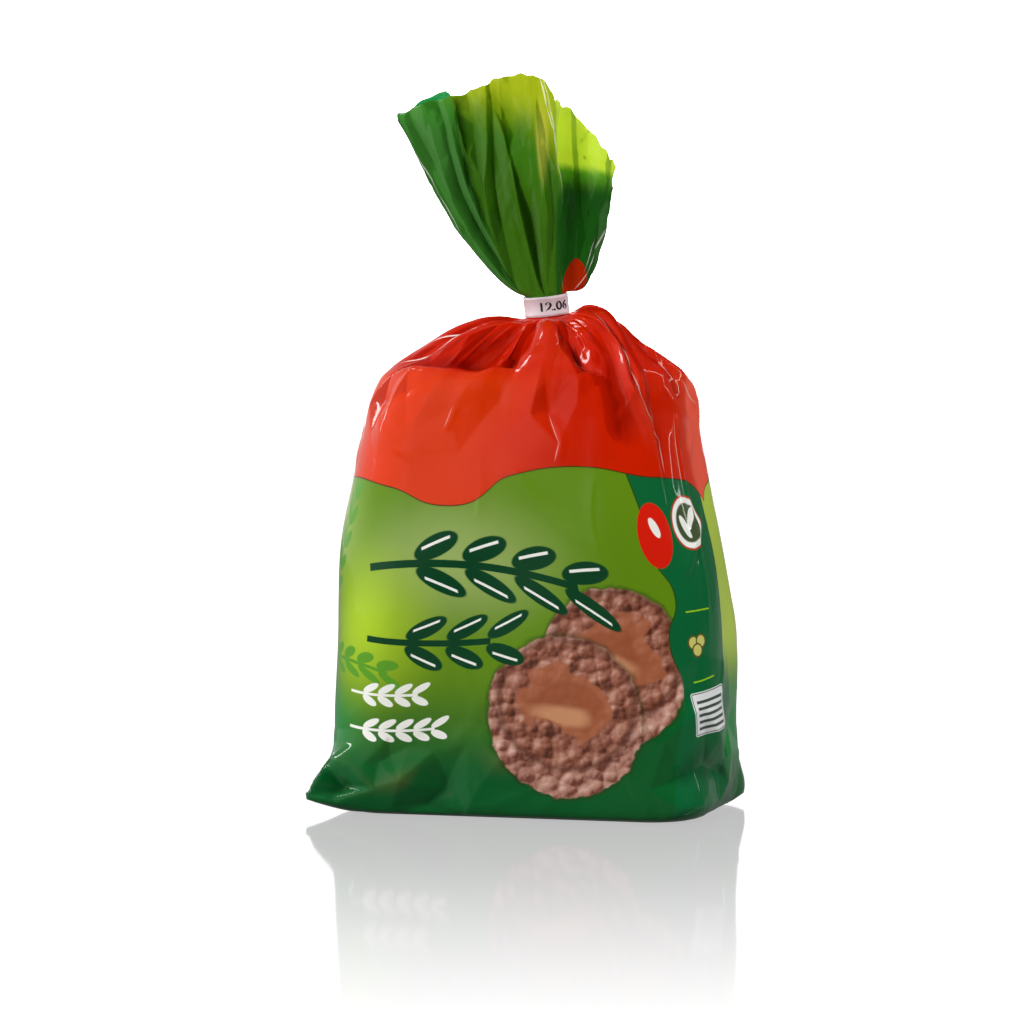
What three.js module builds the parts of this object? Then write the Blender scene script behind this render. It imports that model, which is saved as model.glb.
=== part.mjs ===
// A shut bag of puffed rice cakes: a printed film bag, full up to its shoulders, gathered into a
// neck that a white band holds, with the loose film above the band spread as a leaning fan.
// Millimetres, +Z up. The front panel faces -Y, and the origin is the middle of the base.

import * as THREE from 'three';

// ---- Driving sizes ------------------------------------------------------------------------

const FOOT_WIDTH = 148;          // the base, along X
const FOOT_DEPTH = 88;           // the base, along Y
const BELLY_WIDTH = 158;
const BELLY_DEPTH = 94;
const BELLY_HEIGHT = 56;
const SHOULDER_WIDTH = 117;
const SHOULDER_DEPTH = 66;
const SHOULDER_HEIGHT = 174;
const BELLY_LEAN = 1.2;          // how far the belly and the shoulders stand to the base's left
const SHOULDER_LEAN = 3.6;
const NECK_RADIUS = 7.9;
const NECK_HEIGHT = 196.8;       // where the film enters the band
const BAND_HEIGHT = 8;
const BAND_THICKNESS = 0.8;
const BAND_CLEARANCE = 0.3;
const BAND_LAP = 0.5;            // extra thickness where the band's end lies over its start
const BAND_START = 0.4;          // how far up the neck the band begins
const FAN_START = 8.8;           // how far up the neck the film begins to spread again
const FAN_THICKNESS = 1.3;
const HOLLOW_START = 12;         // how far up the neck the fan's hollow begins

const NECK_OFFSET = new THREE.Vector2(3.6, 1.0);
const FAN_TURN = THREE.MathUtils.degToRad(16);      // the fan spreads across this heading
const NECK_LEAN = 0.11;          // sideways lean of the neck, as a slope
const NECK_TIP = 0.08;           // forward lean of the neck, as a slope

const COLUMNS = 104;
const WALL_RINGS = 29;
const FAN_RINGS = 10;
const HOLLOW_RINGS = 9;

// ---- The film bag's plan sections ----------------------------------------------------------

// "turn" runs once round the film: 0 back middle, 0.25 left, 0.5 front middle, 0.75 right.

const acrossFan = new THREE.Vector3(Math.cos(FAN_TURN), Math.sin(FAN_TURN), 0);
const intoFan = new THREE.Vector3(-Math.sin(FAN_TURN), Math.cos(FAN_TURN), 0);
const neckAxis = new THREE.Vector3(0, 0, 1)
  .addScaledVector(acrossFan, -NECK_LEAN)
  .addScaledVector(intoFan, -NECK_TIP)
  .normalize();
const neckFoot = new THREE.Vector3(NECK_OFFSET.x, NECK_OFFSET.y, NECK_HEIGHT);

// How much higher the plane square to the neck lies at a plan offset from the neck's middle.
const neckPlaneRise = (offset) => (
  NECK_LEAN * offset.dot(acrossFan) + NECK_TIP * offset.dot(intoFan)
);

// A rounded rectangle walked at even speed, one quarter at a time from a long side's middle.
function roundedSection(turn, halfWidth, halfDepth, corner) {
  const fromFront = 4 * Math.abs(turn - 0.5);
  const quarter = fromFront > 1 ? 2 - fromFront : fromFront;
  const flatFront = halfWidth - corner;
  const flatSide = halfDepth - corner;
  const bend = corner * Math.PI / 2;
  const walked = quarter * (flatFront + bend + flatSide);
  const angle = THREE.MathUtils.clamp((walked - flatFront) / corner, 0, Math.PI / 2);
  const x = Math.min(walked, flatFront) + corner * Math.sin(angle);
  const y = flatSide + corner * Math.cos(angle) - Math.max(walked - flatFront - bend, 0);
  const right = turn > 0.5 ? 1 : -1;
  const front = fromFront > 1 ? 1 : -1;
  return {
    point: new THREE.Vector2(right * x, front * y),
    normal: new THREE.Vector2(right * Math.sin(angle), front * Math.cos(angle)),
  };
}

// How the section grows and shrinks from the foot to the neck: half width, half depth, height.
const wallProfile = new THREE.CatmullRomCurve3([
  new THREE.Vector3(FOOT_WIDTH / 2 - 5, FOOT_DEPTH / 2 - 5, 0),
  new THREE.Vector3(FOOT_WIDTH / 2, FOOT_DEPTH / 2, 4),
  new THREE.Vector3(BELLY_WIDTH / 2 - 2, BELLY_DEPTH / 2 - 1.5, BELLY_HEIGHT * 0.45),
  new THREE.Vector3(BELLY_WIDTH / 2, BELLY_DEPTH / 2, BELLY_HEIGHT),
  new THREE.Vector3(BELLY_WIDTH / 2 - 3, BELLY_DEPTH / 2 - 1, BELLY_HEIGHT * 1.75),
  new THREE.Vector3(BELLY_WIDTH / 2 - 9, BELLY_DEPTH / 2 - 4, BELLY_HEIGHT * 2.35),
  new THREE.Vector3(SHOULDER_WIDTH / 2 + 6, SHOULDER_DEPTH / 2 + 5, SHOULDER_HEIGHT - 16),
  new THREE.Vector3(SHOULDER_WIDTH / 2, SHOULDER_DEPTH / 2, SHOULDER_HEIGHT),
  new THREE.Vector3(SHOULDER_WIDTH * 0.36, SHOULDER_DEPTH * 0.35, SHOULDER_HEIGHT + 12),
  new THREE.Vector3(SHOULDER_WIDTH * 0.22, SHOULDER_DEPTH * 0.24, NECK_HEIGHT - 3),
  new THREE.Vector3(NECK_RADIUS * 1.6, NECK_RADIUS * 1.45, NECK_HEIGHT - 1.2),
  new THREE.Vector3(NECK_RADIUS, NECK_RADIUS, NECK_HEIGHT),
], false, 'catmullrom', 0.5);

const FOOT_ROUNDNESS = 0.42;
const BELLY_ROUNDNESS = 0.78;

function roundness(height) {
  const rise = THREE.MathUtils.smoothstep(height, 0, BELLY_HEIGHT);
  const gather = THREE.MathUtils.smoothstep(height, SHOULDER_HEIGHT, NECK_HEIGHT);
  const belly = THREE.MathUtils.lerp(FOOT_ROUNDNESS, BELLY_ROUNDNESS, rise);
  return THREE.MathUtils.lerp(belly, 1, gather);
}

// ---- Relief of the film ----------------------------------------------------------------------

const bump = (x, middle, reach) => Math.exp(-(((x - middle) / reach) ** 2));
const tent = (x, middle, reach) => Math.max(0, 1 - Math.abs(x - middle) / reach);
const wave = (x, phase) => Math.sin(2 * Math.PI * (x + phase));

// The gathered film rises and falls in uneven pleats that fade out below the shoulders.
function pleats(turn, height) {
  const drift = 0.05 * wave(2 * turn, 0.1) + 0.03 * wave(5 * turn, 0.6);
  const broad = wave(11 * turn + 3 * drift, 0.15);
  const narrow = wave(19 * turn - 4 * drift, 0.4);
  const start = THREE.MathUtils.smoothstep(height, SHOULDER_HEIGHT - 22, SHOULDER_HEIGHT + 14);
  const pinch = 1 - 0.75 * THREE.MathUtils.smoothstep(height, NECK_HEIGHT - 7, NECK_HEIGHT);
  return start * pinch * (2 * broad + 1.1 * narrow);
}

// Slack film between the cakes dents and swells the walls a little.
function slack(turn, height) {
  const up = height / SHOULDER_HEIGHT;
  const fade = THREE.MathUtils.smoothstep(height, 2, 30);
  const lateral = wave(3 * turn + 0.7 * up, 0.2) + 0.7 * wave(7 * turn - 1.3 * up, 0.55);
  return 0.8 * fade * lateral * Math.cos(2.2 * Math.PI * up);
}

// Corner ears of the base: where round the film, how high, and how far out along X and Y.
const EARS = [
  { turn: 36 / COLUMNS, height: 6.5, x: -15, y: -6 },
  { turn: 68 / COLUMNS, height: 4, x: 2, y: -1 },
  { turn: 88 / COLUMNS, height: 4, x: 7, y: 5 },
  { turn: 16 / COLUMNS, height: 6, x: -8, y: 3 },
];
const EAR_HALF_WIDTH = 3.4 / COLUMNS;
const EAR_RISE = 20;

function ears(turn, height) {
  const reach = new THREE.Vector3(0, 0, 0);
  for (const ear of EARS) {
    const span = height < ear.height ? ear.height : EAR_RISE;
    const shape = tent(turn, ear.turn, EAR_HALF_WIDTH) * tent(height, ear.height, span);
    reach.add(new THREE.Vector3(ear.x, ear.y, 0).multiplyScalar(shape));
  }
  return reach;
}

// Creases of the shoulders: a swell at the neck's left, a hollow on the left of the front slope,
// a flat on the right slope, a hump at the neck's right that runs down as a long fold, a second
// fold beside it, and two dips under the neck.
// "slant" is how far a fold drifts round the film for each millimetre of height.
const CREASES = [
  { turn: 0.27, height: 194, width: 0.07, rise: 9, slant: 0, out: 2 },
  { turn: 0.76, height: 184, width: 0.05, rise: 12, slant: 0, out: -4.5 },
  { turn: 0.452, height: 187, width: 0.05, rise: 8, slant: 0, out: -6 },
  { turn: 0.68, height: 194.5, width: 0.034, rise: 6, slant: 0, out: 7.8 },
  { turn: 0.655, height: 176, width: 0.015, rise: 20, slant: 0.0015, out: 3.6 },
  { turn: 0.7, height: 181, width: 0.013, rise: 18, slant: 0.0018, out: 3.2 },
  { turn: 0.49, height: 184, width: 0.014, rise: 9, slant: 0, out: -3.2 },
  { turn: 0.545, height: 184, width: 0.014, rise: 9, slant: 0, out: -3.2 },
];

function creases(turn, height) {
  return CREASES.reduce((sum, fold) => {
    const middle = fold.turn + fold.slant * (height - fold.height);
    const shape = bump(turn, middle, fold.width) * bump(height, fold.height, fold.rise);
    return sum + fold.out * shape;
  }, 0);
}

// ---- Points of the outer film -----------------------------------------------------------------

function wallPoint(turn, climb) {
  const size = wallProfile.getPoint(climb);
  const height = size.z;
  const corner = roundness(height) * Math.min(size.x, size.y);
  const { point, normal } = roundedSection(turn, size.x, size.y, corner);
  const gather = THREE.MathUtils.smoothstep(height, SHOULDER_HEIGHT - 30, NECK_HEIGHT);
  const settle = 1 - THREE.MathUtils.smoothstep(climb, 0.87, 0.955);
  const fold = pleats(turn, height) + creases(turn, height);
  const out = (slack(turn, height) + 0.55 * fold) * settle;
  const up = 0.75 * fold * THREE.MathUtils.smoothstep(height, SHOULDER_HEIGHT - 8, NECK_HEIGHT - 8);
  const leftward = BELLY_LEAN * THREE.MathUtils.smoothstep(height, 8, BELLY_HEIGHT)
    + (SHOULDER_LEAN - BELLY_LEAN) * THREE.MathUtils.smoothstep(height, BELLY_HEIGHT, 150);
  const place = new THREE.Vector3(point.x + out * normal.x, point.y + out * normal.y, 0);
  place.add(ears(turn, height));
  place.x += THREE.MathUtils.lerp(-leftward, neckFoot.x, gather);
  place.y += gather * neckFoot.y;
  const lean = gather * neckPlaneRise(place) * THREE.MathUtils.smoothstep(climb, 0.8, 0.95);
  place.z = height + up * settle + lean;
  return place;
}

// A ring round the leaning neck, at a distance along its axis.
function neckPoint(turn, along, radius) {
  const { point } = roundedSection(turn, radius, radius, radius);
  const offset = new THREE.Vector3(point.x, point.y, 0);
  offset.z = neckPlaneRise(offset);
  return offset.add(neckFoot).addScaledVector(neckAxis, along);
}

// ---- The fan of loose film ---------------------------------------------------------------------

// The fan's cut edge at even steps of film: across the fan, into it, and height.
const fanEdge = new THREE.CatmullRomCurve3([
  new THREE.Vector3(-12, 15, 266),
  new THREE.Vector3(-23, 10, 275),
  new THREE.Vector3(-32, 14, 284),
  new THREE.Vector3(-37, 11, 286.5),
  new THREE.Vector3(-43, 14, 285),
  new THREE.Vector3(-51, 9, 279),
  new THREE.Vector3(-54.5, 2, 277.5),
  new THREE.Vector3(-48, -8, 280),
  new THREE.Vector3(-38.5, -6, 283),
  new THREE.Vector3(-33.5, 0, 284),
  new THREE.Vector3(-27, -9, 286),
  new THREE.Vector3(-20, -7, 289),
  new THREE.Vector3(-14.5, -1, 291.5),
  new THREE.Vector3(-7, -10, 292.3),
  new THREE.Vector3(-1, -13, 291.5),
  new THREE.Vector3(5, -15, 286.5),
  new THREE.Vector3(8.5, -9, 281),
  new THREE.Vector3(7, -1, 282),
  new THREE.Vector3(15, 3, 276.5),
  new THREE.Vector3(23, 0, 267.5),
  new THREE.Vector3(29.3, 3, 256.5),
  new THREE.Vector3(25, 10, 252),
  new THREE.Vector3(12, 14, 253),
  new THREE.Vector3(-1, 10, 258),
], true, 'catmullrom', 0.5);

const LEFT_SPREAD = 0.65;        // how soon the left and right of the fan open above the band
const RIGHT_SPREAD = 0.26;

function fanPoint(turn, climb) {
  const edge = fanEdge.getPoint(turn);
  const root = neckPoint(turn, FAN_START, NECK_RADIUS);
  const rightness = THREE.MathUtils.smoothstep(edge.x, -5, 25);
  const spread = climb ** THREE.MathUtils.lerp(LEFT_SPREAD, RIGHT_SPREAD, rightness);
  const tip = new THREE.Vector3(0, 0, 0)
    .addScaledVector(acrossFan, edge.x)
    .addScaledVector(intoFan, edge.y);
  return new THREE.Vector3(
    THREE.MathUtils.lerp(root.x, tip.x, spread),
    THREE.MathUtils.lerp(root.y, tip.y, spread),
    THREE.MathUtils.lerp(root.z, edge.z, climb),
  );
}

// The fan's inner face: the outer face moved in by the film's thickness, square to its plan.
function hollowPoint(turn, climb) {
  const step = 0.5 / COLUMNS;
  const before = fanPoint((turn - step + 1) % 1, climb);
  const after = fanPoint((turn + step) % 1, climb);
  const along = after.sub(before).setZ(0).normalize();
  const inward = new THREE.Vector3(-along.y, along.x, 0);
  return fanPoint(turn, climb).addScaledVector(inward, FAN_THICKNESS);
}

// ---- Meshes ---------------------------------------------------------------------------------------

// Closes a stack of rings, each with one point per column, with a cap point at both ends.
function closedStack(rings, firstCap, lastCap) {
  const points = [firstCap, ...rings.flat(), lastCap];
  const index = [];
  const at = (ring, column) => 1 + ring * COLUMNS + column % COLUMNS;
  for (let column = 0; column < COLUMNS; column += 1) {
    index.push(0, at(0, column + 1), at(0, column));
    for (let ring = 0; ring < rings.length - 1; ring += 1) {
      const low = [at(ring, column), at(ring, column + 1)];
      const high = [at(ring + 1, column), at(ring + 1, column + 1)];
      index.push(low[0], low[1], high[1], low[0], high[1], high[0]);
    }
    index.push(at(rings.length - 1, column), at(rings.length - 1, column + 1), points.length - 1);
  }
  const geometry = new THREE.BufferGeometry().setFromPoints(points);
  geometry.setIndex(index);
  geometry.computeVertexNormals();
  return geometry;
}

function ring(pointAt) {
  return Array.from({ length: COLUMNS }, (_, column) => pointAt(column / COLUMNS));
}

function filmRings() {
  const rings = [ring((turn) => wallPoint(turn, 0).multiplyScalar(0.6))];
  for (let step = 0; step <= WALL_RINGS; step += 1) {
    rings.push(ring((turn) => wallPoint(turn, step / WALL_RINGS)));
  }
  for (const along of [FAN_START / 2, FAN_START]) {
    rings.push(ring((turn) => neckPoint(turn, along, NECK_RADIUS)));
  }
  for (let step = 1; step <= FAN_RINGS; step += 1) {
    rings.push(ring((turn) => fanPoint(turn, (step / FAN_RINGS) ** 1.3)));
  }
  for (let step = HOLLOW_RINGS; step >= 1; step -= 1) {
    rings.push(ring((turn) => hollowPoint(turn, (step / HOLLOW_RINGS) ** 1.3)));
  }
  return rings;
}

function bagGeometry() {
  const floorMiddle = new THREE.Vector3(0, 0, 0);
  const hollowFloor = neckFoot.clone().addScaledVector(neckAxis, HOLLOW_START);
  return closedStack(filmRings(), floorMiddle, hollowFloor);
}

// The band: one turn of flat tape whose end lies over its start at the back.
function bandGeometry() {
  const inner = NECK_RADIUS + BAND_CLEARANCE;
  const outer = inner + BAND_THICKNESS;
  const outline = new THREE.Shape();
  const lapStart = THREE.MathUtils.degToRad(55);
  const lapEnd = THREE.MathUtils.degToRad(125);
  outline.absarc(0, 0, outer + BAND_LAP, lapStart, lapEnd, false);
  outline.absarc(0, 0, outer, lapEnd, lapStart + 2 * Math.PI, false);
  const bore = new THREE.Path();
  bore.absarc(0, 0, inner, 0, 2 * Math.PI, true);
  outline.holes.push(bore);
  return new THREE.ExtrudeGeometry(outline, {
    depth: BAND_HEIGHT,
    bevelEnabled: false,
    curveSegments: 40,
  });
}

// ---- The object -------------------------------------------------------------------------------------

function filmMesh() {
  const film = new THREE.MeshStandardMaterial({ color: 0x3f8a28, roughness: 0.25, metalness: 0 });
  const mesh = new THREE.Mesh(bagGeometry(), film);
  mesh.name = 'bag';
  return mesh;
}

function bandMesh() {
  const paper = new THREE.MeshStandardMaterial({ color: 0xe9e2e3, roughness: 0.45, metalness: 0 });
  const mesh = new THREE.Mesh(bandGeometry(), paper);
  mesh.name = 'neck_band';
  mesh.position.copy(neckFoot).addScaledVector(neckAxis, BAND_START);
  mesh.quaternion.setFromUnitVectors(new THREE.Vector3(0, 0, 1), neckAxis);
  return mesh;
}

const bag = new THREE.Group();
bag.add(filmMesh(), bandMesh());

// The origin goes to the middle of the whole outline's base.
const outline = new THREE.Box3().setFromObject(bag);
const middle = outline.getCenter(new THREE.Vector3());
bag.position.set(-middle.x, -middle.y, -outline.min.z);

export default bag;
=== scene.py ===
"""Looks of a shut bag of puffed rice cakes: printed film gathered under a white neck band.

Lengths are in millimetres until a mesh is made. +Z is up and the front panel faces -Y.
"""

import math

import bpy
import numpy as np
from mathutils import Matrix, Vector, geometry


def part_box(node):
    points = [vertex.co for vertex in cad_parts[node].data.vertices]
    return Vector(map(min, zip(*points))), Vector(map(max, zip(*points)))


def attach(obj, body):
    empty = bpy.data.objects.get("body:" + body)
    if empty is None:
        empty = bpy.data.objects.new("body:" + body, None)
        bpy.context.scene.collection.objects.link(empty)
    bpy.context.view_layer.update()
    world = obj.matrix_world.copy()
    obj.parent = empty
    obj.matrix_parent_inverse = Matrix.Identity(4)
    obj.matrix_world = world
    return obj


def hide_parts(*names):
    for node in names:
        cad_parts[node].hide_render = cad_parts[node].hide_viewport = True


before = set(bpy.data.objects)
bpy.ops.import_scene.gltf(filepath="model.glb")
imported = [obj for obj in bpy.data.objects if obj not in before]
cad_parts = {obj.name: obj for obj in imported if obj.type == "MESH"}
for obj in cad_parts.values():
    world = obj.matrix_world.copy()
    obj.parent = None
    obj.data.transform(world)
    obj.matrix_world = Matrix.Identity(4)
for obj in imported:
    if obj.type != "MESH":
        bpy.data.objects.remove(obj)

MM, METRE = 0.001, 1000
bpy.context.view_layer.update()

# ---- Driving sizes, as in the part's solids ----

FOOT_WIDTH, FOOT_DEPTH = 148, 88
BELLY_WIDTH, BELLY_DEPTH, BELLY_HEIGHT = 158, 94, 56
SHOULDER_WIDTH, SHOULDER_DEPTH, SHOULDER_HEIGHT = 117, 66, 174
BELLY_LEAN, SHOULDER_LEAN = 1.2, 3.6
NECK_RADIUS, NECK_HEIGHT = 7.9, 196.8
BAND_HEIGHT, BAND_THICKNESS, BAND_CLEARANCE, BAND_START = 8, 0.8, 0.3, 0.4
FAN_START, FAN_HEIGHT = 8.8, 95
FILM_THICKNESS = 0.25
NECK_OFFSET = np.array([3.6, 1.0])
FAN_TURN = math.radians(16)
NECK_LEAN, NECK_TIP = 0.11, 0.08
CAD_COLUMNS, CAD_WALL_RINGS, CAD_FAN_RINGS, CAD_RING_SPACING = 104, 29, 10, 1.3
FILM_ROUND = 430                 # length of film round the belly
PANEL = FILM_ROUND / 2           # width of the print, which repeats on the back

ALONG_X, ALONG_Y, ALONG_Z = (1, 0, 0), (0, 1, 0), (0, 0, 1)
ACROSS = np.array([math.cos(FAN_TURN), math.sin(FAN_TURN), 0])
INTO = np.array([-math.sin(FAN_TURN), math.cos(FAN_TURN), 0])
NECK_AXIS = np.array([0, 0, 1]) - NECK_LEAN * ACROSS - NECK_TIP * INTO
NECK_AXIS = NECK_AXIS / np.linalg.norm(NECK_AXIS)
NECK_FOOT = np.array([*NECK_OFFSET, NECK_HEIGHT])


# ---- Shaping functions ----

def lerp(a, b, t):
    return a + (b - a) * t


def smoothstep(x, low, high):
    t = np.clip((x - low) / (high - low), 0, 1)
    return t * t * (3 - 2 * t)


def between(x, rise_from, rise_to, fall_from, fall_to):
    return smoothstep(x, rise_from, rise_to) * (1 - smoothstep(x, fall_from, fall_to))


def bump(x, middle, reach):
    return np.exp(-(((x - middle) / reach) ** 2))


def crest(x, middle, reach):
    """A hump that comes to a creased top."""
    return np.maximum(0, 1 - np.abs(x - middle) / (2 * reach)) ** 1.4


def tent(x, middle, reach):
    return np.maximum(0, 1 - np.abs(x - middle) / reach)


def wave(x, phase):
    return np.sin(2 * np.pi * (x + phase))


def pleat_wave(x, phase):
    """A wave with creased crests and nearly flat flanks, as pleated film has."""
    return np.arcsin(0.985 * wave(x, phase)) * 0.72


def spline(knots, t, closed):
    """A uniform Catmull-Rom curve through the knots, at t from 0 to 1."""
    knots = np.asarray(knots, float)
    if closed:
        padded = np.concatenate([knots[-1:], knots, knots[:2]])
        at = (np.asarray(t) % 1) * len(knots)
    else:
        padded = np.concatenate([[2 * knots[0] - knots[1]], knots, [2 * knots[-1] - knots[-2]]])
        at = np.asarray(t) * (len(knots) - 1)
    start = np.clip(np.floor(at).astype(int), 0, len(padded) - 4)
    s = (at - start)[..., None]
    before, a, b, after = (padded[start + k] for k in range(4))
    leave, arrive = 0.5 * (b - before), 0.5 * (after - a)
    cubic = 2 * a - 2 * b + leave + arrive
    square = -3 * a + 3 * b - 2 * leave - arrive
    return ((cubic * s + square) * s + leave) * s + a


def hash_grid(i, j, seed):
    """A repeatable number from 0 to 1 for each lattice point."""
    mixed = (i * 374761393 + j * 668265263 + seed * 974634777) & 0x7FFFFFFF
    mixed = ((mixed ^ (mixed >> 13)) * 1274126177) & 0x7FFFFFFF
    return ((mixed ^ (mixed >> 16)) & 0xFFFF) / 0xFFFF


def value_noise(x, y, period, seed):
    """Smooth noise from -1 to 1 whose x repeats every period cells."""
    i, j = np.floor(x).astype(np.int64), np.floor(y).astype(np.int64)
    fx, fy = x - i, y - j
    fx, fy = fx * fx * (3 - 2 * fx), fy * fy * (3 - 2 * fy)
    low = lerp(hash_grid(i % period, j, seed), hash_grid((i + 1) % period, j, seed), fx)
    high = lerp(hash_grid(i % period, j + 1, seed), hash_grid((i + 1) % period, j + 1, seed), fx)
    return 2 * lerp(low, high, fy) - 1


def facets(turn, v, cell, seed, stretch=1.0):
    """Crumpled film: flat triangles that meet in creases, about one cell across, from -1 to 1."""
    half = max(2, round(FILM_ROUND / cell / 2))
    x, y = turn * 2 * half, v / (cell * stretch)
    shift_x = 0.7 * value_noise(x * 0.5 + 9, y * 0.5, half, seed + 1)
    shift_y = 0.7 * value_noise(x * 0.5, y * 0.5 + 7, half, seed + 2)
    x, y = x + shift_x, y + shift_y
    i, j = np.floor(x).astype(np.int64), np.floor(y).astype(np.int64)
    fx, fy = x - i, y - j
    slant = (i + j) % 2 == 1
    fx = np.where(slant, 1 - fx, fx)
    near, far = np.where(slant, i + 1, i) % (2 * half), np.where(slant, i, i + 1) % (2 * half)
    a, b = hash_grid(near, j, seed + 3), hash_grid(far, j, seed + 3)
    c, d = hash_grid(near, j + 1, seed + 3), hash_grid(far, j + 1, seed + 3)
    low = a + fx * (b - a) + fy * (c - a)
    high = d + (1 - fx) * (c - d) + (1 - fy) * (b - d)
    return 2 * np.where(fx + fy < 1, low, high) - 1


# ---- The wall of the bag ----

WALL_PROFILE = [
    (FOOT_WIDTH / 2 - 5, FOOT_DEPTH / 2 - 5, 0),
    (FOOT_WIDTH / 2, FOOT_DEPTH / 2, 4),
    (BELLY_WIDTH / 2 - 2, BELLY_DEPTH / 2 - 1.5, BELLY_HEIGHT * 0.45),
    (BELLY_WIDTH / 2, BELLY_DEPTH / 2, BELLY_HEIGHT),
    (BELLY_WIDTH / 2 - 3, BELLY_DEPTH / 2 - 1, BELLY_HEIGHT * 1.75),
    (BELLY_WIDTH / 2 - 9, BELLY_DEPTH / 2 - 4, BELLY_HEIGHT * 2.35),
    (SHOULDER_WIDTH / 2 + 6, SHOULDER_DEPTH / 2 + 5, SHOULDER_HEIGHT - 16),
    (SHOULDER_WIDTH / 2, SHOULDER_DEPTH / 2, SHOULDER_HEIGHT),
    (SHOULDER_WIDTH * 0.36, SHOULDER_DEPTH * 0.35, SHOULDER_HEIGHT + 12),
    (SHOULDER_WIDTH * 0.22, SHOULDER_DEPTH * 0.24, NECK_HEIGHT - 3),
    (NECK_RADIUS * 1.6, NECK_RADIUS * 1.45, NECK_HEIGHT - 1.2),
    (NECK_RADIUS, NECK_RADIUS, NECK_HEIGHT),
]
FOOT_ROUNDNESS, BELLY_ROUNDNESS = 0.42, 0.78

# Corner ears of the base: where round the film, how high, and how far out along X and Y.
EARS = [
    (36 / CAD_COLUMNS, 6.5, -15, -6),
    (68 / CAD_COLUMNS, 4, 2, -1),
    (88 / CAD_COLUMNS, 4, 7, 5),
    (16 / CAD_COLUMNS, 6, -8, 3),
]
EAR_HALF_WIDTH, EAR_RISE = 3.4 / CAD_COLUMNS, 20

# Broad folds of the shoulders: turn, height, width, rise, slant and how far out.
BROAD_FOLDS = [
    (0.27, 194, 0.07, 9, 0, 2),
    (0.76, 184, 0.05, 12, 0, -4.5),
    (0.452, 187, 0.05, 8, 0, -6),
    (0.68, 194.5, 0.034, 6, 0, 7.8),
    (0.655, 176, 0.015, 20, 0.0015, 3.6),
    (0.7, 181, 0.013, 18, 0.0018, 3.2),
    (0.49, 184, 0.014, 9, 0, -3.2),
    (0.545, 184, 0.014, 9, 0, -3.2),
]


def rounded_section(turn, half_width, half_depth, corner):
    """Point and outward normal on a rounded rectangle, walked at even speed in each quarter."""
    from_front = 4 * np.abs(turn - 0.5)
    quarter = np.where(from_front > 1, 2 - from_front, from_front)
    flat_front, flat_side = half_width - corner, half_depth - corner
    bend = corner * np.pi / 2
    walked = quarter * (flat_front + bend + flat_side)
    angle = np.clip((walked - flat_front) / corner, 0, np.pi / 2)
    x = np.minimum(walked, flat_front) + corner * np.sin(angle)
    y = flat_side + corner * np.cos(angle) - np.maximum(walked - flat_front - bend, 0)
    right = np.where(turn > 0.5, 1, -1)
    front = np.where(from_front > 1, 1, -1)
    point = np.stack([right * x, front * y], -1)
    normal = np.stack([right * np.sin(angle), front * np.cos(angle)], -1)
    return point, normal


def roundness(height):
    belly = lerp(FOOT_ROUNDNESS, BELLY_ROUNDNESS, smoothstep(height, 0, BELLY_HEIGHT))
    return lerp(belly, 1, smoothstep(height, SHOULDER_HEIGHT, NECK_HEIGHT))


def pleats(turn, height):
    drift = 0.05 * wave(2 * turn, 0.1) + 0.03 * wave(5 * turn, 0.6)
    broad = pleat_wave(11 * turn + 3 * drift, 0.15)
    narrow = pleat_wave(19 * turn - 4 * drift, 0.4)
    start = smoothstep(height, SHOULDER_HEIGHT - 22, SHOULDER_HEIGHT + 14)
    pinch = 1 - 0.75 * smoothstep(height, NECK_HEIGHT - 7, NECK_HEIGHT)
    return start * pinch * (1.3 * broad + 0.6 * narrow)


def slack(turn, height):
    up = height / SHOULDER_HEIGHT
    lateral = wave(3 * turn + 0.7 * up, 0.2) + 0.7 * wave(7 * turn - 1.3 * up, 0.55)
    return 0.8 * smoothstep(height, 2, 30) * lateral * np.cos(2.2 * np.pi * up)


def broad_folds(turn, height):
    total = 0
    for at, level, width, rise, slant, out in BROAD_FOLDS:
        middle = at + slant * (height - level)
        total = total + out * crest(turn, middle, width) * bump(height, level, rise)
    return total


def plane_rise(place):
    """How much higher the plane square to the neck lies at a plan offset."""
    x, y = place[..., 0], place[..., 1]
    across = x * ACROSS[0] + y * ACROSS[1]
    into = x * INTO[0] + y * INTO[1]
    return NECK_LEAN * across + NECK_TIP * into


# Share of the shoulder folds that goes outwards and upwards, and the climbs where they settle.
FOLD_OUT, FOLD_UP, SETTLE_FROM, SETTLE_TO = 0.55, 0.75, 0.87, 0.955


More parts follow.
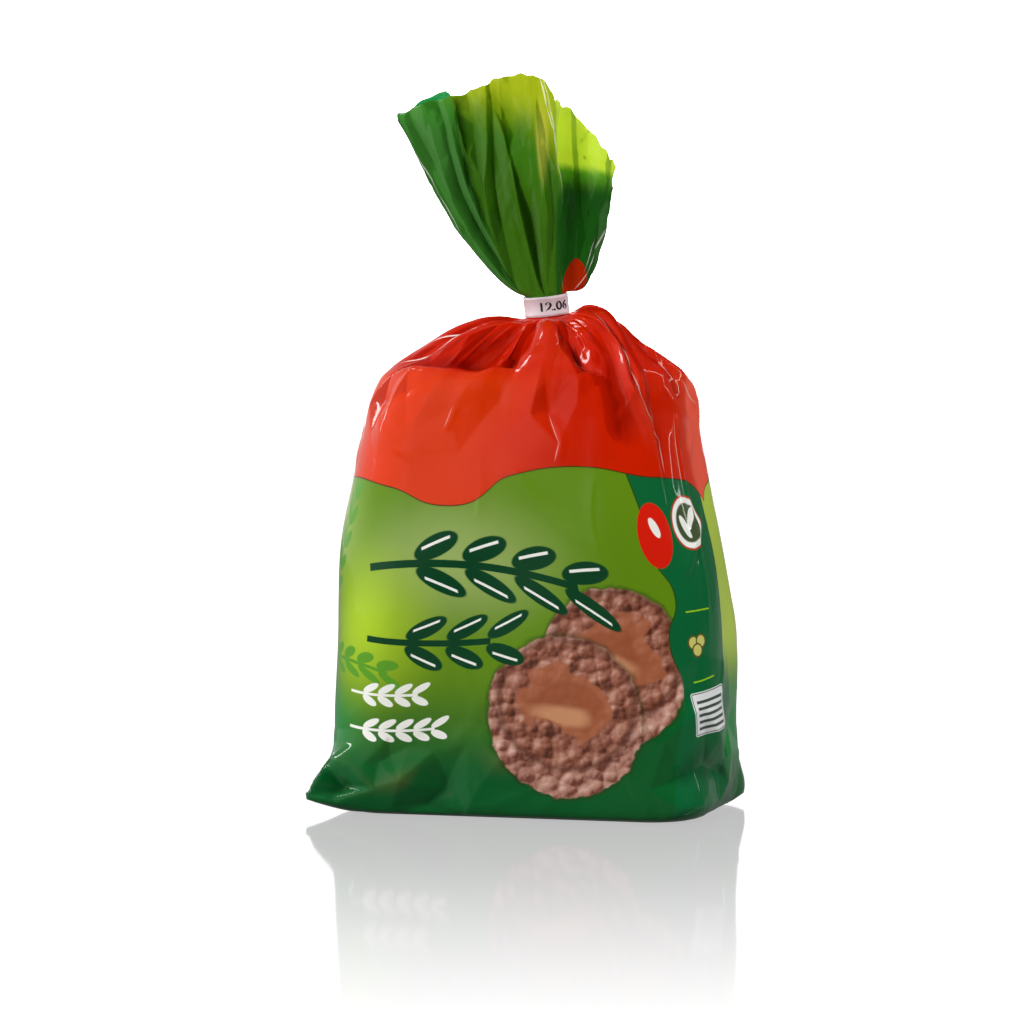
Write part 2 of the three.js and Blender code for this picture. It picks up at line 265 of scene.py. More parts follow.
def wall_point(turn, climb):
    """Points of the film from the foot, climb 0, to the neck, climb 1."""
    turn, climb = np.broadcast_arrays(turn, climb)
    size = spline(WALL_PROFILE, climb, False)
    width, depth, height = size[..., 0], size[..., 1], size[..., 2]
    point, normal = rounded_section(turn, width, depth, roundness(height) * np.minimum(width, depth))
    gather = smoothstep(height, SHOULDER_HEIGHT - 30, NECK_HEIGHT)
    settle = 1 - smoothstep(climb, SETTLE_FROM, SETTLE_TO)
    fold = pleats(turn, height) + broad_folds(turn, height)
    out = (slack(turn, height) + FOLD_OUT * fold) * settle
    up = FOLD_UP * fold * smoothstep(height, SHOULDER_HEIGHT - 8, NECK_HEIGHT - 8)
    leftward = BELLY_LEAN * smoothstep(height, 8, BELLY_HEIGHT)
    leftward = leftward + (SHOULDER_LEAN - BELLY_LEAN) * smoothstep(height, BELLY_HEIGHT, 150)
    place = np.zeros(turn.shape + (3,))
    place[..., :2] = point + out[..., None] * normal
    for at, level, x, y in EARS:
        span = np.where(height < level, level, EAR_RISE)
        shape = tent(turn, at, EAR_HALF_WIDTH) * tent(height, level, span)
        place[..., 0] += x * shape
        place[..., 1] += y * shape
    place[..., 0] += lerp(-leftward, NECK_FOOT[0], gather)
    place[..., 1] += gather * NECK_FOOT[1]
    lean = gather * plane_rise(place) * smoothstep(climb, 0.8, 0.95)
    place[..., 2] = height + up * settle + lean
    return place


def neck_point(turn, along, radius):
    point, _ = rounded_section(turn, radius, radius, radius)
    offset = np.concatenate([point, plane_rise(point)[..., None]], -1)
    return offset + NECK_FOOT + np.asarray(along)[..., None] * NECK_AXIS


# ---- The fan of loose film ----

# The fan's cut edge at even steps of film: across the fan, into it, and height.
FAN_EDGE = [
    (-12, 15, 266), (-23, 10, 275), (-32, 14, 284), (-37, 11, 286.5),
    (-43, 14, 285), (-51, 9, 279), (-54.5, 2, 277.5), (-48, -8, 280),
    (-38.5, -6, 283), (-33.5, 0, 284), (-27, -9, 286), (-20, -7, 289),
    (-14.5, -1, 291.5), (-7, -10, 292.3), (-1, -13, 291.5), (5, -15, 286.5),
    (8.5, -9, 281), (7, -1, 282), (15, 3, 276.5), (23, 0, 267.5),
    (29.3, 3, 256.5), (25, 10, 252), (12, 14, 253), (-1, 10, 258),
]
LEFT_SPREAD, RIGHT_SPREAD = 0.65, 0.26
# How much farther back each knot of the edge lies here, so that the middle leaf spreads flatter.
FAN_EASE = [0, 0, 0, 0, 0, 0, 0, 1.5, -1, -5, 0.5, -1, -6.5, 0, 1.5, 2, 0, 0, 0, 1, 0, 0, 0, 0]


def fan_point(turn, climb):
    turn, climb = np.broadcast_arrays(turn, climb)
    edge = spline(FAN_EDGE, turn, True)
    root = neck_point(turn, np.full(turn.shape, FAN_START), NECK_RADIUS)
    rightness = smoothstep(edge[..., 0], -5, 25)
    spread = climb ** lerp(LEFT_SPREAD, RIGHT_SPREAD, rightness)
    tip = edge[..., :1] * ACROSS + edge[..., 1:2] * INTO
    place = lerp(root, tip, spread[..., None])
    place[..., 2] = lerp(root[..., 2], edge[..., 2], climb)
    return place


# ---- Folds laid one by one and the film's crumple ----

# Each fold: the path round the film and up it, half width, height and side. Height is positive for
# a ridge. Side 0 falls away both ways, and 1 or -1 only on the side of larger or smaller turn.
WALL_FOLDS = [
    # the two long ridges down from the neck on the right, and the hollows beside them
    ([(0.662, 0.86), (0.6544, 0.745), (0.64, 0.636), (0.655, 0.56), (0.665, 0.517),
      (0.668, 0.40)], 5, 3.2, -1),
    ([(0.674, 0.83), (0.668, 0.75), (0.6488, 0.67), (0.655, 0.572), (0.666, 0.517)], 3, 1.4, 0),
    ([(0.635, 0.76), (0.62, 0.66), (0.63, 0.56), (0.64, 0.48)], 9, -1.8, 0),
    ([(0.70, 0.80), (0.69, 0.70), (0.70, 0.62), (0.715, 0.54)], 8, -1.7, 1),
    ([(0.69, 0.84), (0.703, 0.707), (0.7356, 0.645), (0.765, 0.60), (0.79, 0.475)], 6, 2.8, -1),
    ([(0.75, 0.66), (0.77, 0.60), (0.785, 0.52)], 6, -2.0, 1),
    ([(0.699, 0.56), (0.70, 0.50), (0.70, 0.40), (0.697, 0.28)], 4, 1.0, 1),
    ([(0.739, 0.439), (0.70, 0.395), (0.684, 0.374), (0.673, 0.355)], 4, 0.9, 0),
    # short creases of the front panel
    ([(0.437, 0.565), (0.4375, 0.54), (0.433, 0.522)], 3.5, 0.55, 1),
    ([(0.546, 0.55), (0.558, 0.524), (0.563, 0.505), (0.5575, 0.478)], 4, 0.65, 1),
    ([(0.47, 0.50), (0.478, 0.46), (0.475, 0.41)], 5, 0.45, 1),
    ([(0.60, 0.47), (0.592, 0.42), (0.598, 0.37)], 5, 0.45, -1),
    # long ridges behind
    ([(-0.10, 0.85), (-0.11, 0.74), (-0.13, 0.64), (-0.12, 0.52)], 5, 3.0, 1),
    ([(0.23, 0.84), (0.24, 0.72), (0.25, 0.62), (0.24, 0.50)], 6, 2.4, -1),
]

# Creases: chains of knots, each millimetres round the film and up it, and how far out. The film runs
# straight between them. Those of the shoulders lie on the front panel and, mirrored, on the back.
SHOULDER_CREASES = [
    [(-104, 150, 0), (-60, 144, 0), (-20, 146, 0), (30, 140, 0), (60, 146, 0)],
    [(-104, 175, 0), (-104, 200, 0), (-60, 209.5, 0), (0, 209.5, 0), (40, 209.5, 0), (62, 208, 0)],
    [(66, 165, 0), (66, 190, 0)],
    # the front panel's top edge
    [(-88, 175, 2.2), (-72.6, 177.5, 2.6), (-58.6, 179.6, 3), (-38.4, 178.5, 3), (-21.2, 176.8, 2.2),
     (-12.9, 180, 1.6), (-1.1, 180, 1.8)],
    # the leaf that rises to the neck from its middle
    [(-1.1, 180, 1.8), (0.3, 186, 3), (4.8, 194, 2.6), (-1.9, 203.5, 0.8)],
    [(14, 184, 3.4), (15, 197.5, 3), (19, 200, 2.4), (26.9, 189.3, 2.8), (33.3, 178, 2.6)],
    # the dark notch beside it, and the pocket to its left
    [(30, 196, -1.4), (33, 188, -3.4), (36, 182, -1.8)],
    [(-60, 184, -2), (-46.5, 185, -3.4), (-36.8, 186.5, -4.2), (-25, 185, -3.4), (-17, 184, -1.6)],
    [(-35, 193, -2.8), (-30, 200, -1.4)],
    # the roof on the left
    [(-82, 184, 1.2), (-77, 192, 2), (-56, 197.5, 1.8), (-46, 205, 0.8)],
    [(-68, 188, 0.2), (-57, 191, -0.6)], [(-94, 186, 1.2), (-88, 197, 0.8)],
    # crumples at the middle of the pocket
    [(-11.6, 186, 1), (-13.2, 183.4, -0.8)], [(-20, 189, -1.8), (-22, 196, 0.2), (-18, 204, -0.6)],
    [(-6.5, 184.5, -2), (-8, 192, -2.4), (-9, 201, -1)],
    # facets of the front panel
    [(-72, 167, -0.8), (-61, 163, 1.6), (-45, 154, 0.5)], [(-84, 165, 1.8), (-92, 158, 0.4)],
    [(-72, 154, -0.4)], [(-53, 170, 0.9)], [(-26, 165, 0.9)], [(-5, 168, -0.5)],
    [(12, 162, 0.9), (0, 153, 0.2)], [(21, 163, -0.6), (27, 151, 0.8)], [(34, 167, 1.2)],
    # the hump on the right
    [(42, 186, 1.2), (51, 191, 1.8), (47, 198, 2.4)], [(48, 178, 0.2), (57, 170, -0.6)], [(41, 204, 0.4)],
    [(57, 200, 1)],
]
# The lower left corner with its ear, used turned and mirrored on both corners behind as well.
EAR_CREASES = [
    [(-86, 36, 0), (-86, 2, 0), (-66, 2, 0), (-47, 2.4, 0), (-17, 2.4, 0), (24, 2.4, 0), (28, 20, 0)],
    [(-70, 36, 0), (-46, 35, 0), (-28, 39, 0), (-14, 42, 0), (8, 34, 0)],
    [(-72, 26, 1), (-64.5, 19.5, -1.6), (-58.9, 13.4, -3.2)],
    [(-66, 17, 1.6), (-67.7, 10.8, 1), (-66, 6.5, 0.6)],
    [(-58.9, 13.4, -3.2), (-57.8, 21.2, 1.8), (-55.4, 23, 1.2)],
    [(-66, 6.5, 0.6), (-60.5, 8.7, 1.4), (-52.1, 14.2, 2.4), (-41.7, 17.4, 3.4), (-28.2, 29.3, 0.4)],
    [(-55.4, 23, 1.2), (-50, 24.2, 0.2), (-46.2, 26.5, -0.8), (-38, 30.5, -0.4), (-28.2, 29.3, 0.4)],
    [(-28.2, 29.3, 0.4), (-23.9, 18, -1.4), (-24.7, 13.9, -1.5)], [(-19.3, 11, -0.4), (-9.9, 16.6, 1.4)],
    [(-23.9, 18, -1.4), (-15.9, 31.9, 0.8)], [(-9.9, 16.6, 1.4), (-2.7, 25.2, 3), (8.9, 12.7, 0.6)],
    [(-47, 6, 0.3), (-32.3, 7.5, -1.6), (-16.7, 5, 0.3)], [(16, 15, 0)],
]
CORNER_CREASES = [
    [(36, 2.4, 0), (36, 30, 0), (55, 64, 0), (80, 68, 0), (105, 64, 0), (128, 52, 0), (136, 25, 0),
     (132, 3, 0)], [(60, 2.4, 0), (86, 2.4, 0), (110, 2.4, 0)],
    [(55, 16.6, 0.5), (71, 22, -2.2), (85, 25, -3), (103.5, 19.8, -1.4)],
    [(74, 53, 0.2), (79.6, 48, 1.4), (89.5, 35, 2.4), (102, 25, 0.8), (108.6, 16, 2.2)], [(62, 36, 1.2)],
    [(112, 27, 1.6), (120, 12.7, 0.8)], [(114, 38, -1), (104, 46, 0.8)],
    [(66, 9.5, 1.6), (86, 9, 2.2), (104, 8, 1.2)],
]
# The same for the fan, whose knots are shares of the film's round and of the fan's climb.
FAN_CREASES = [
    [(0.235, -0.01, 0), (0.235, 0.5, 0), (0.235, 1.12, 0)],
    [(0.84, 1.12, 0), (0.84, 0.5, 0), (0.84, -0.01, 0)],
    # the deep valley down the left side, and the strip beyond it
    [(0.326, 1.12, -0.6), (0.3256, 0.855, -1.2), (0.32, 0.7475, -1.6), (0.315, 0.546, -2.8),
     (0.319, 0.366, -3.2), (0.335, 0.17, -2.2), (0.36, 0.03, -0.8)],
    [(0.332, 1.12, 1.2), (0.334, 0.855, 1.4), (0.33, 0.72, 1.2), (0.328, 0.5, 1), (0.335, 0.33, 0.8),
     (0.352, 0.17, 0.5)],
    [(0.3, 1.12, 1.5), (0.302, 0.865, 2), (0.295, 0.714, 1.8), (0.283, 0.5, 1.8), (0.288, 0.3, 1.4),
     (0.31, 0.1, 0.7)], [(0.25, 1.12, -0.5), (0.253, 0.8, 1.2), (0.246, 0.6, 1.2), (0.25, 0.35, 0.8)],
    [(0.275, 1.12, -1), (0.272, 0.72, -1)],
    # the bright facet of the middle leaf, and the crumple beside it
    [(0.455, 1.12, 1.6), (0.45, 0.96, 2.4), (0.4338, 0.75, 3), (0.408, 0.536, 3), (0.4037, 0.4, 2.6),
     (0.385, 0.2, 1.6), (0.38, 0.05, 0.6)],
    [(0.463, 1.12, -0.4), (0.462, 0.9, -0.8), (0.45, 0.72, -1.4), (0.43, 0.52, -1.6), (0.42, 0.36, -1.4),
     (0.4, 0.16, -0.8)],
    [(0.398, 1.12, -0.6), (0.406, 0.903, -0.4), (0.395, 0.77, -1.2), (0.385, 0.6, -0.6),
     (0.375, 0.42, -0.4)], [(0.346, 0.712, 0.2), (0.365, 0.72, 1.6), (0.38, 0.7, 1.6)],
    [(0.36, 0.95, 1.2), (0.352, 0.86, 0.4)],
    # valleys and ridges right of it
    [(0.475, 0.8, 1), (0.49, 0.66, 1.4), (0.503, 0.51, 2), (0.515, 0.367, 2), (0.521, 0.23, 1.4),
     (0.53, 0.04, 0.5)],
    [(0.485, 0.8, 0.2), (0.5, 0.66, 0), (0.513, 0.51, -0.9), (0.5256, 0.367, -2.6), (0.532, 0.23, -2.4),
     (0.541, 0.03, -0.9)],
    [(0.51, 1.12, -0.6), (0.5175, 0.89, -1), (0.53, 0.76, -1.2), (0.537, 0.705, -0.6)], [(0.49, 0.96, 1)],
    [(0.5563, 0.5, 1), (0.5713, 0.288, 2.2), (0.572, 0.18, 1.8), (0.5775, 0.02, 0.5)],
    [(0.58, 0.92, 0.8), (0.5863, 0.656, 2.4), (0.601, 0.514, 2.4), (0.609, 0.378, 2), (0.595, 0.22, 1.2)],
    [(0.598, 0.78, -0.6), (0.613, 0.656, -0.8), (0.625, 0.5, -0.8), (0.63, 0.36, -0.6), (0.62, 0.2, -0.3)],
    [(0.54, 0.68, 0.2), (0.56, 0.665, 1.6)], [(0.56, 1, 1), (0.562, 0.84, 1.2)],
    # the crinkled edge between the middle leaf and the right lobe
    [(0.594, 1.12, 0.4), (0.611, 0.8765, 1), (0.634, 0.813, 0.8), (0.647, 0.697, 0.8),
     (0.67, 0.546, 0.8), (0.69, 0.35, 0.4)],
    # the right lobe
    [(0.7325, 1.12, 1), (0.74, 0.85, 1.4), (0.7538, 0.5273, 1.4), (0.7644, 0.367, 1), (0.77, 0.1, 0.4)],
    [(0.745, 1.12, -0.6), (0.752, 0.85, -0.8), (0.766, 0.53, -0.6)],
    [(0.7, 1.12, -0.8), (0.7, 0.85, -0.6), (0.71, 0.6, -0.4)],
    [(0.775, 1.12, -1.2), (0.7869, 0.587, -1.4), (0.785, 0.35, -0.8)],
    [(0.81, 1.12, 1.2), (0.815, 0.7, 1.4), (0.82, 0.45, 1)],
    [(0.24, -0.01, 0), (0.35, -0.01, 0), (0.45, -0.01, 0), (0.55, -0.01, 0), (0.65, -0.01, 0),
     (0.75, -0.01, 0)],
]
NECK_GATHERS, STRAY_FOLDS = 30, 46
FOLD_BLEND = 0.0022              # turn over which a one-sided fold ends
FRONT_CREASE, BACK_CREASE, EAR_CREASE, CORNER_CREASE = 1.15, 0.9, 1.3, 1.2
FRONT_EAR, BACK_EAR = -66, 148.8         # where round the film the ears stand


def lay_folds(points, normals, turn, form, folds):
    """Pushes the points along their normals by folds that follow paths on the film."""
    push = np.zeros(points.shape[:2])
    for path, width, height, side in folds:
        fine = np.linspace(0, 1, 8 * len(path))
        line = spline(path, fine, False)
        trace = form(line[:, 0] % 1, np.clip(line[:, 1], 0.002, 1))
        low, high = trace.min(0) - width, trace.max(0) + width
        near = np.all((points > low) & (points < high), axis=-1)
        p = points[near]
        start, step = trace[:-1], np.diff(trace, axis=0)
        reach = ((p[:, None] - start) * step).sum(-1) / np.maximum((step ** 2).sum(-1), 1e-9)
        reach = np.clip(reach, 0, 1)
        gap = np.linalg.norm(p[:, None] - start - reach[..., None] * step, axis=-1)
        best = gap.argmin(1)
        row = np.arange(len(p))
        reached = (best + reach[row, best]) / len(step)
        taper = between(reached, 0, 0.22, 0.78, 1)
        shape = np.maximum(0, 1 - gap[row, best] / width)
        if side:
            past = (turn[near] - np.interp(reached, fine, line[:, 0]) + 0.5) % 1 - 0.5
            shape = shape ** 1.25 * smoothstep(past * side, -FOLD_BLEND, FOLD_BLEND)
        else:
            shape = smoothstep(shape, 0, 1)
        push[near] += height * shape * taper
    points += push[..., None] * normals
    return push


def creased(x, y, chains, scale=(1, 1)):
    """Relief that runs straight between knots, so that the film creases along their chains."""
    knots, edges = {}, []
    for chain in chains:
        ids = [knots.setdefault(knot, len(knots)) for knot in chain]
        edges += zip(ids, ids[1:])
    flat = [Vector((knot[0] * scale[0], knot[1] * scale[1])) for knot in knots]
    height = [knot[2] for knot in knots]
    corners, _, faces, origin, _, _ = geometry.delaunay_2d_cdt(flat, edges, [], 0, 1e-5)
    x, y = x * scale[0], y * scale[1]
    relief = np.zeros(x.shape)
    for face in faces:
        (ax, ay), (bx, by), (cx, cy) = [corners[k][:2] for k in face]
        a, b, c = [np.mean([height[n] for n in origin[k]]) if origin[k] else 0 for k in face]
        size = (bx - ax) * (cy - ay) - (cx - ax) * (by - ay)
        if abs(size) < 1e-12:
            continue
        s = ((x - ax) * (cy - ay) - (cx - ax) * (y - ay)) / size
        t = ((bx - ax) * (y - ay) - (x - ax) * (by - ay)) / size
        inside = (s >= 0) & (t >= 0) & (s + t <= 1)
        relief = np.where(inside, a + s * (b - a) + t * (c - a), relief)
    return relief


def wrapped(u):
    """Length round the film, from half a round before the front middle to half a round after it."""
    return (u + PANEL) % FILM_ROUND - PANEL


def wall_creases(u, v):
    relief = FRONT_CREASE * creased(u, v, SHOULDER_CREASES)
    relief += BACK_CREASE * creased(wrapped(PANEL - u), v, SHOULDER_CREASES)
    relief += EAR_CREASE * creased(u, v, EAR_CREASES) + CORNER_CREASE * creased(u, v, CORNER_CREASES)
    for way in (1, -1):
        relief += creased(wrapped((u - way * BACK_EAR) * way + FRONT_EAR), v, EAR_CREASES)
    return relief


def gather_folds(rng):
    """Folds that run from the neck down over the shoulders, and short stray ones anywhere."""
    folds = []
    for k in range(NECK_GATHERS):
        at = (k + rng.uniform(0.2, 0.8)) / NECK_GATHERS
        reach = rng.uniform(0.6, 0.76)
        drift = rng.uniform(-0.02, 0.02)
        path = [(at, 0.93), (at + 0.2 * drift, 0.87), (at + 0.6 * drift, 0.80), (at + drift, reach)]
        width, height = rng.uniform(2.5, 4), rng.uniform(0.6, 1.2) * rng.choice([-1, 1])
        folds.append((path, width, height, rng.choice([-1, 0, 1])))
    for _ in range(STRAY_FOLDS):
        at, up = rng.uniform(0, 1), rng.choice([rng.uniform(0.1, 0.3), rng.uniform(0.42, 0.62)])
        slope, half = rng.uniform(-0.05, 0.05), rng.uniform(0.02, 0.06)
        path = [(at - slope, up - half), (at + 0.3 * slope, up), (at + slope, up + half)]
        folds.append((path, rng.uniform(3.5, 6), rng.uniform(0.25, 0.55), 0))
    return folds


def grid_normals(points):
    """Outward normals of a grid whose rows run up the film and whose columns run round it."""
    round_film = np.roll(points, -1, 1) - np.roll(points, 1, 1)
    normals = np.cross(round_film, np.gradient(points, axis=0))
    return normals / np.maximum(np.linalg.norm(normals, axis=-1, keepdims=True), 1e-9)


# ---- Meshes ----

WALL_COLUMNS, WALL_ROWS = 520, 185
FAN_COLUMNS, FAN_ROWS = 420, 105
TURN_STEPS, FOLD_SEED = 4096, 7
WALL_SLEEVE, FAN_SLEEVE = (2.5, 5.0), (4.0, 6.5)    # how far up the neck the film's rings lie in the band
BASE_RINGS = (0.02, 0.35, 0.7, 0.92)                # shares of the way from the base's middle to its edge
# Crumple of the film: cell, seed and stretch, for large and small facets.
WALL_FACETS, WALL_SMALL_FACETS = (30, 11, 0.9), (11, 23, 1.2)
FAN_FACETS, FAN_SMALL_FACETS = (31, 41, 0.75), (13, 43, 0.7)
FAN_CREASE, FAN_BACK_CREASE = 1.2, 0.7


def profile_length():
    climb = np.linspace(0, 1, 801)
    size = spline(WALL_PROFILE, climb, False)
    step = np.linalg.norm(np.diff(size[:, 1:], axis=0), axis=1)
    return climb, np.concatenate([[0], np.cumsum(step)])


CLIMB_TABLE, LENGTH_TABLE = profile_length()
WALL_LENGTH = LENGTH_TABLE[-1]


def cad_shift():
    """How far the solids were moved to put their origin in the middle of the base."""
    turn = np.arange(CAD_COLUMNS) / CAD_COLUMNS
    rings = [wall_point(turn, k / CAD_WALL_RINGS) for k in range(CAD_WALL_RINGS + 1)]
    for k in range(1, CAD_FAN_RINGS + 1):
        rings.append(fan_point(turn, (k / CAD_FAN_RINGS) ** CAD_RING_SPACING))
    low = np.array(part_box("bag")[0]) / MM
    return low - np.concatenate(rings).min(0)


SHIFT = cad_shift()


def tilt_of(relief):
    """How steeply the relief climbs from column to column, for each millimetre round the film."""
    step = FILM_ROUND / relief.shape[1]
    return (np.roll(relief, -1, 1) - np.roll(relief, 1, 1)) / (2 * step)


def add_object(name, data):
    added = bpy.data.objects.new(name, data)
    bpy.context.collection.objects.link(added)
    return added


def make_piece(name, points, faces, node, materials, corner_uv=(), fields=None, face_material=()):
    mesh = bpy.data.meshes.new(name)
    mesh.from_pydata(((points + SHIFT) * MM).tolist(), [], faces)
    for material in materials:
        mesh.materials.append(material)
    if len(corner_uv):
        layer = mesh.uv_layers.new(name="film")
        layer.data.foreach_set("uv", np.asarray(corner_uv, np.float32).ravel())
    for label, values in (fields or {}).items():
        layer = mesh.attributes.new(label, "FLOAT", "POINT")
        layer.data.foreach_set("value", np.asarray(values, np.float32).ravel())
    if len(face_material):
        mesh.polygons.foreach_set("material_index", face_material)
    mesh.shade_smooth()
    mesh.validate()
    mesh.update()
    piece = add_object(name, mesh)
    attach(piece, "root")
    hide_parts(node)


def tube_faces(rows, columns):
    """Quads of a closed tube of rings, facing outwards."""
    row, column = np.meshgrid(np.arange(rows - 1), np.arange(columns), indexing="ij")
    following = (column + 1) % columns
    low, high = row * columns, (row + 1) * columns
    quads = np.stack([low + column, low + following, high + following, high + column], -1)
    return quads.reshape(-1, 4)


def tube_uv(turns, heights):
    """Film coordinates in metres for each corner of the tube's quads."""
    rows, columns = heights.shape
    u = np.concatenate([turns, [1.0]]) * FILM_ROUND * MM
    v = np.concatenate([heights, heights[:, :1]], 1) * MM
    row, column = np.meshgrid(np.arange(rows - 1), np.arange(columns), indexing="ij")
    corners = [(row, column), (row, column + 1), (row + 1, column + 1), (row + 1, column)]
    return np.stack([np.stack([u[c], v[r, c]], -1) for r, c in corners], 2).reshape(-1, 2)


def spaced_turns(count):
    """Turns round the film, closer together on the front and the right side than behind."""
    even = np.arange(TURN_STEPS) / TURN_STEPS
    weight = 0.75 + 0.6 * between(even, 0.26, 0.32, 0.78, 0.84)
    walked = np.concatenate([[0], np.cumsum(weight)])
    return np.interp(np.arange(count) / count, walked / walked[-1], np.arange(TURN_STEPS + 1) / TURN_STEPS)


def neck_rings(turns, sleeve):
    return [neck_point(turns, np.full(len(turns), height), NECK_RADIUS) for height in sleeve]


def build_wall(material):
    turns = spaced_turns(WALL_COLUMNS)
    lengths = np.linspace(0, WALL_LENGTH, WALL_ROWS)
    turn, climb = np.meshgrid(turns, np.interp(lengths, LENGTH_TABLE, CLIMB_TABLE))
    v = np.repeat(lengths[:, None], WALL_COLUMNS, 1)
    points = wall_point(turn, climb)
    normals = grid_normals(points)
    loose = smoothstep(v, 2, 12) * (1 - smoothstep(climb, 0.87, 0.96))
    low, high = 1 - smoothstep(v, 20, 55), smoothstep(v, 148, 178)
    relief = (0.25 + 0.4 * low + 0.5 * high) * facets(turn, v, *WALL_FACETS)
    relief += (0.05 + 0.3 * low + 0.35 * high) * facets(turn, v, *WALL_SMALL_FACETS)
    relief *= loose
    relief += wall_creases((turn - 0.5) * FILM_ROUND, v)
    points += relief[..., None] * normals
    paths = WALL_FOLDS + gather_folds(np.random.default_rng(FOLD_SEED))
    folds = lay_folds(points, normals, turn, wall_point, paths)
    points[..., 2] = np.maximum(points[..., 2], 0)
    foot = points[0]
    base = [lerp(foot.mean(0), foot, share) * [1, 1, 0] for share in BASE_RINGS]
    rings = np.concatenate([base, points, neck_rings(turns, WALL_SLEEVE)])
    below, above = np.zeros((len(BASE_RINGS), WALL_COLUMNS)), np.zeros((len(WALL_SLEEVE), WALL_COLUMNS))
    fields = {"relief": np.concatenate([below, 0.6 * relief + folds, above]),
              "tilt": np.concatenate([below, tilt_of(relief + folds), above])}
    heights = np.concatenate([below, v, v[-2:] + np.array(WALL_SLEEVE)[:, None]])
    faces = tube_faces(len(rings), WALL_COLUMNS).tolist()
    make_piece("film_body", rings.reshape(-1, 3), faces, "bag", [material],
               tube_uv(turns, heights), fields)


def cut_edge(turn):
    """How far the jagged cut edge stands above or below its even line, as a share of the climb."""
    teeth = np.abs(((turn * 40 + 0.6 * wave(7 * turn, 0.2)) % 1) - 0.5) * 2 - 0.5
    ragged = 0.004 * wave(17 * turn, 0.1) + 0.003 * wave(31 * turn, 0.5)
    return 0.032 * teeth * between(turn, 0.62, 0.68, 0.86, 0.92) + ragged


def fan_relief(turn, climb, v):
    size = (FILM_ROUND, FAN_HEIGHT)
    relief = FAN_CREASE * creased(turn, climb, FAN_CREASES, size)
    relief += FAN_BACK_CREASE * creased((turn + 0.5) % 1, climb, FAN_CREASES, size)
    relief *= 1 - 0.35 * smoothstep(climb, 0.35, 0.8)
    crumple = 2.3 * facets(turn, v, *FAN_FACETS) + 0.9 * facets(turn, v, *FAN_SMALL_FACETS)
    return relief + crumple * climb ** 0.8


def build_fan(material):
    """The loose film, up its outer face, over the cut edge and down its inner face."""
    turns = np.arange(FAN_COLUMNS) / FAN_COLUMNS
    turn, climb = np.meshgrid(turns, np.linspace(0, 1, FAN_ROWS) ** 1.1)
    points = fan_point(turn, climb * (1 + cut_edge(turn) * climb ** 6))
    points += climb[..., None] * spline([[back] for back in FAN_EASE], turn, True) * INTO
    v = WALL_LENGTH + FAN_START + climb * FAN_HEIGHT
    relief = fan_relief(turn, climb, v)
    points += relief[..., None] * grid_normals(points)
    outer = np.concatenate([neck_rings(turns, FAN_SLEEVE), points])
    inner = outer - FILM_THICKNESS * grid_normals(outer)
    rings = np.concatenate([outer, inner[::-1]])
    flat = np.zeros((len(FAN_SLEEVE), FAN_COLUMNS))
    heights = np.concatenate([flat + WALL_LENGTH + np.array(FAN_SLEEVE)[:, None], v])
    both_faces = {"relief": np.concatenate([flat, relief]), "tilt": np.concatenate([flat, tilt_of(relief)])}
    fields = {label: np.concatenate([values, values[::-1]]) for label, values in both_faces.items()}
    faces = tube_faces(len(rings), FAN_COLUMNS).tolist()
    uv = tube_uv(turns, np.concatenate([heights, heights[::-1]])).tolist()
    last, foot = (len(rings) - 1) * FAN_COLUMNS, (WALL_LENGTH + FAN_SLEEVE[0]) * MM
    for c in range(FAN_COLUMNS):
        following = (c + 1) % FAN_COLUMNS
        faces.append([last + c, last + following, following, c])
        left, right = c / FAN_COLUMNS * FILM_ROUND * MM, (c + 1) / FAN_COLUMNS * FILM_ROUND * MM
        uv += [[left, foot], [right, foot], [right, foot], [left, foot]]
    make_piece("film_fan", rings.reshape(-1, 3), faces, "bag", [material], uv, fields)


# ---- The neck band ----

BAND_COLUMNS, BAND_INNER = 180, NECK_RADIUS + BAND_CLEARANCE
LAP_START, LAP_END, LAP_BLEND, LAP_RISE = math.radians(56), math.radians(124), 0.03, 0.45
# The tape's section: share of its thickness, and height. A raised line runs along both edges, and
# between them lies the face that carries the stamp.
FACE = 0.97
BAND_SECTION = [
    (0, 0.15), (0.35, 0), (0.85, 0), (1, 0.12), (1, 0.55), (1.14, 0.7), (1.14, 0.9), (FACE, 1.05),
    (FACE, 6.9), (1.14, 7.05), (1.14, 7.25), (1, 7.4), (1, 7.85), (0.85, 8), (0.35, 8), (0, 7.85),
]
STAMP, STAMP_BOLDNESS, STAMP_HEIGHT, STAMP_RISE = "12.06", 0.028, 3.7, 0.05
STAMP_START, STAMP_END = math.radians(-16), math.radians(62)


def neck_frame():
    """Sideways, backward and upward directions of the leaning neck."""
    leaning = Vector((0, 0, 1)).rotation_difference(Vector(NECK_AXIS.tolist())).to_matrix()
    return [np.array(leaning.col[k]) for k in range(3)]


SIDEWAYS, BACKWARD, UPWARD = neck_frame()


def on_band(angle, radius, height):
    """A point by its angle round the band, distance from the neck's axis and height up it."""
    flat = np.cos(angle)[..., None] * SIDEWAYS + np.sin(angle)[..., None] * BACKWARD
    middle = NECK_FOOT + BAND_START * NECK_AXIS
    return middle + radius[..., None] * flat + height[..., None] * UPWARD


def stamp_mesh():
    """The stamped number as flat faces: corner points along and up the tape, and faces."""
    curve = bpy.data.curves.new("stamp", "FONT")
    curve.body = STAMP
    curve.resolution_u = 3
    curve.offset = STAMP_BOLDNESS
    holder = bpy.data.objects.new("stamp", curve)
    mesh = bpy.data.meshes.new_from_object(holder)
    corners = np.array([v.co[:2] for v in mesh.vertices])
    faces = [list(p.vertices) for p in mesh.polygons]
    bpy.data.objects.remove(holder)
    bpy.data.meshes.remove(mesh)
    corners = (corners - corners.min(0)) / (corners.max(0) - corners.min(0))
    return corners, faces


